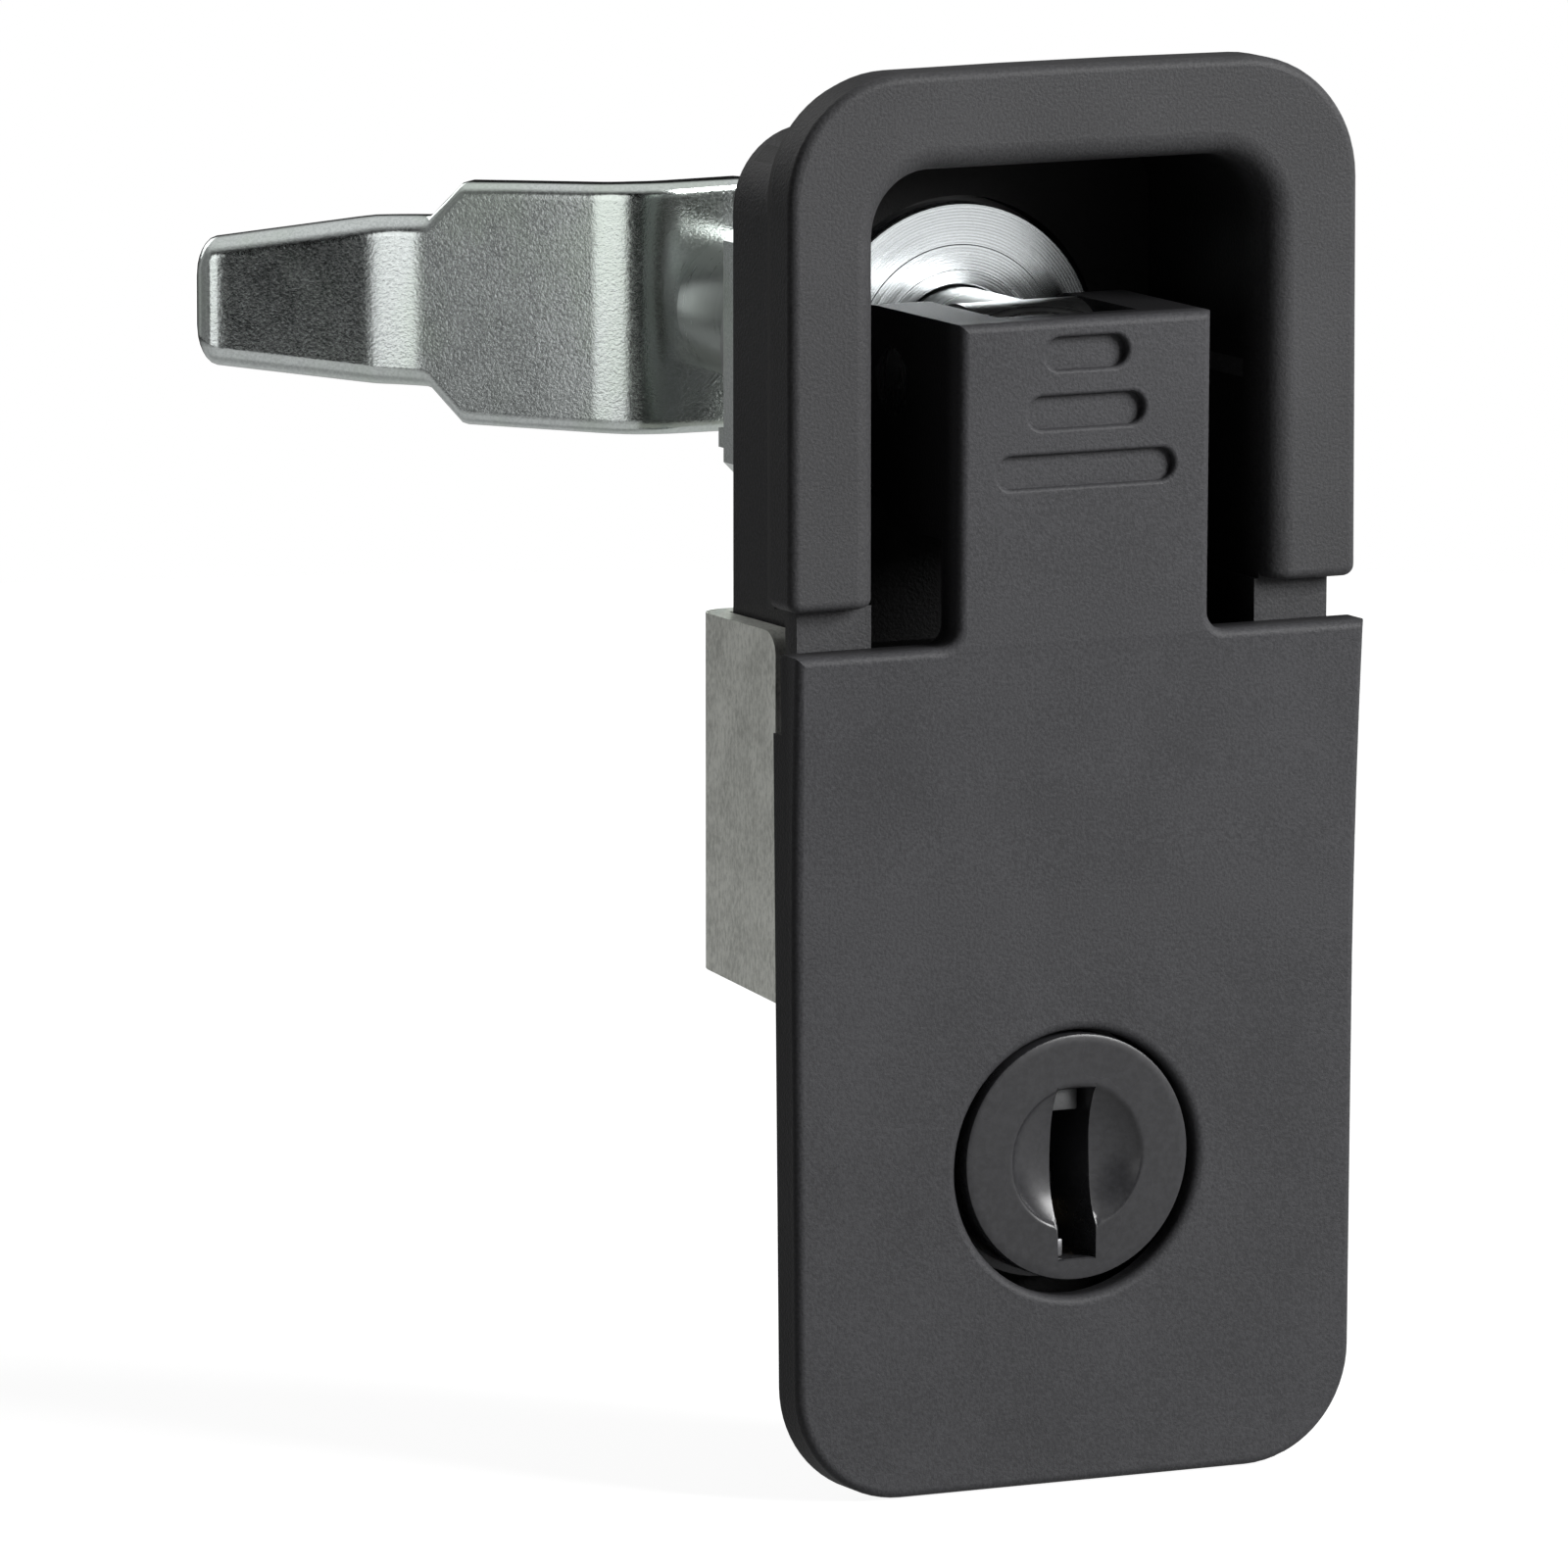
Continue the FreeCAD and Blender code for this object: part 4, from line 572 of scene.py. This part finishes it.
stud_bore = 2.5
nut_half, nut_round, nut_front, nut_rear, nut_slope = 4.0, 3.75, 38.9, 42.8, 0.577
washer_front, washer_rear, notch_radius, tooth_radius, tooth_count = 37.8, 38.8, 4.25, 4.78, 12
arm_reach, arm_half, cross_taper = 1.3, 0.31, 0.86


def hexagon(turn):
    return nut_half / math.cos(turn % (math.pi / 3) - math.pi / 6)


def toothed(turn):
    return notch_radius if math.sin(tooth_count * turn) > 0.2 else tooth_radius


def cross(turn):
    """The edge of a screw's cross recess, in one direction."""
    aside = (turn + math.pi / 4) % (math.pi / 2) - math.pi / 4
    return min(arm_reach / math.cos(aside), arm_half / max(abs(math.sin(aside)), 0.05))


zinc_small = plated("zinc_small", (0.60, 0.63, 0.64), 0.30, 1.2)
dressed(zinc_small, "plug_tail_washer")
nut = shaped("cam_nut_turned", ringed([
    about(stud_bore, nut_front), about(nut_round, nut_front),
    about(hexagon, lambda out: nut_front + nut_slope * (out - nut_round)),
    about(hexagon, lambda out: nut_rear - nut_slope * (out - nut_round)),
    about(nut_round, nut_rear), about(stud_bore + 0.25, nut_rear),
    about(stud_bore, nut_rear - 0.3)], hollow=True), zinc_small, 26)
washer = shaped("cam_lock_washer_toothed", ringed([
    about(stud_bore, washer_front), about(toothed, washer_front), about(toothed, washer_rear),
    about(stud_bore, washer_rear)], hollow=True), zinc_small, 26)
pieces = [(nut, "spindle", "cam_nut"), (washer, "spindle", "cam_lock_washer")]
screw_loops = [about(radius, depth) for radius, depth in (
    (1.5, 4.75), (1.5, 12.7), (2.68, 12.7), (2.7, 12.85), (2.7, 13.6), (2.6, 14.1),
    (2.3, 14.5), (1.9, 14.68), (1.5, 14.75))]
screw_loops += [about(cross, 14.75), about(lambda turn: cross_taper * cross(turn), 13.7)]
for name, height in (("upper", -17.7), ("lower", -26.7)):
    screw = shaped(f"bracket_screw_{name}", ringed(screw_loops, height), zinc_small, 32)
    pieces.append((screw, "housing", "bracket_screws"))
for piece, body, node in pieces:
    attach(piece, body)
    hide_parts(node)

# Key lock: the barrel and the plug are die-cast zinc, blackened, and the wafers are brass.
# Their ends show in the key slot, worn grey.
dressed(plated("barrel_metal", (0.12, 0.12, 0.125), 0.5, 1.5, 0.2), "lock_barrel")
plug_finish = coated("plug_black", tone=(0.023, 0.023, 0.025), roughness=0.28, grain=0.3,
                     relief=0.003, gloss=0.45)
lock_height, plug_face, slot_deep = -39.8, -3.45, 9.0
bowl_radius, bowl_deep, lip_radius, lip_wide = 3.85, 0.95, 3.95, 0.4
slot_outline = [(1.075, 3.5), (-1.075, 3.5), (-1.075, -5.3), (1.075, -5.3)]
slot_middle = Vector((0.0, -0.9))
slot_turns = sorted({round(2 * math.pi * step / 96, 4) for step in range(96)} | {
    round(math.atan2(z - slot_middle.y, x - slot_middle.x) % (2 * math.pi), 4)
    for x, z in slot_outline})


def slot_reach(turn):
    """How far the slot's edge lies from its middle, in one direction."""
    way = Vector((math.cos(turn), math.sin(turn)))
    reach = []
    for start, finish in zip(slot_outline, slot_outline[1:] + slot_outline[:1]):
        side = Vector(finish) - Vector(start)
        off = Vector(start) - slot_middle
        slope = way.x * side.y - way.y * side.x
        if abs(slope) > 1e-9:
            out = (off.x * side.y - off.y * side.x) / slope
            along = (off.x * way.y - off.y * way.x) / slope
            if out > 0 and -1e-3 <= along <= 1 + 1e-3:
                reach.append(out)
    return min(reach)


def circle_reach(turn, radius):
    """How far a circle about the plug's axis lies from the slot's middle, in one direction."""
    towards_axis = Vector((math.cos(turn), math.sin(turn))).dot(slot_middle)
    inside = towards_axis ** 2 - slot_middle.length_squared + radius ** 2
    return -towards_axis + math.sqrt(max(inside, 0))


def dished(x, z):
    """The plug's face: a bowl 7.7 mm across and 0.95 mm deep, with a softened rim."""
    radius = math.hypot(x, z)
    lip = min(max((lip_radius - radius) / lip_wide, 0), 1)
    bowl = bowl_deep * max(1 - (radius / bowl_radius) ** 3, 0)
    return plug_face + bowl * lip * lip * (3 - 2 * lip)


def slot_loop(order, radius, depth=None, sunk=0.0):
    """A loop of the plug at a radius, or beside the slot where that lies further out.

    Without a depth it lies on the dished face, or sunk below it. Each higher order lies
    0.02 mm further from the slot, so that no two loops of the face touch.
    """
    loop = []
    for turn in slot_turns:
        beside = slot_reach(turn) + 0.02 * order
        out = max(beside, circle_reach(turn, radius) if radius else 0)
        x, z = slot_middle.x + out * math.cos(turn), slot_middle.y + out * math.sin(turn)
        loop.append((x, dished(x, z) + sunk if depth is None else depth, z))
    return loop


plug_loops = [slot_loop(0, 0, slot_deep), slot_loop(0, 0, sunk=0.1), slot_loop(4, 0)]
plug_loops += [slot_loop(order, radius) for order, radius in enumerate(
    (1.4, 1.9, 2.4, 2.8, 3.2, 3.5, 3.6, 3.7, 3.8, 3.9, 4.0, 5.0, 5.9, 6.22), 6)]
plug_loops += [slot_loop(0, radius, depth) for radius, depth in (
    (6.36, -3.41), (6.4, -3.34), (6.4, -1.8), (5.6, -1.8), (5.6, 12.55), (2.8, 12.55),
    (2.8, 14.4), (2.6, 14.55))]
key_plug = shaped("lock_plug_dished", ringed(plug_loops, lock_height), plug_finish, 38)
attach(key_plug, "plug")
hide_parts("lock_plug")
dressed(plated("wafer_brass", (0.62, 0.47, 0.24), 0.35, 0.8, 0.4), "wafers")
wafer_ends = bmesh.new()
for lower, upper, left, right, depth in (
        (2.2, 3.46, -1.05, 0.8, -1.5), (-2.0, -1.3, -1.05, 0.3, 0.4),
        (-5.25, -4.3, -1.05, -0.5, -2.4)):
    place = Matrix.Translation((
        (left + right) / 2 * MM, depth * MM, ((lower + upper) / 2 + lock_height) * MM))
    size = Matrix.Diagonal(((right - left) * MM, 0.9 * MM, (upper - lower) * MM, 1))
    bmesh.ops.create_cube(wafer_ends, size=1, matrix=place @ size)
ends = shaped("wafer_ends", eased(wafer_ends, 0.12),
              plated("wafer_dull", (0.14, 0.14, 0.145), 0.45, 0.8, 0.2))
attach(ends, "plug")
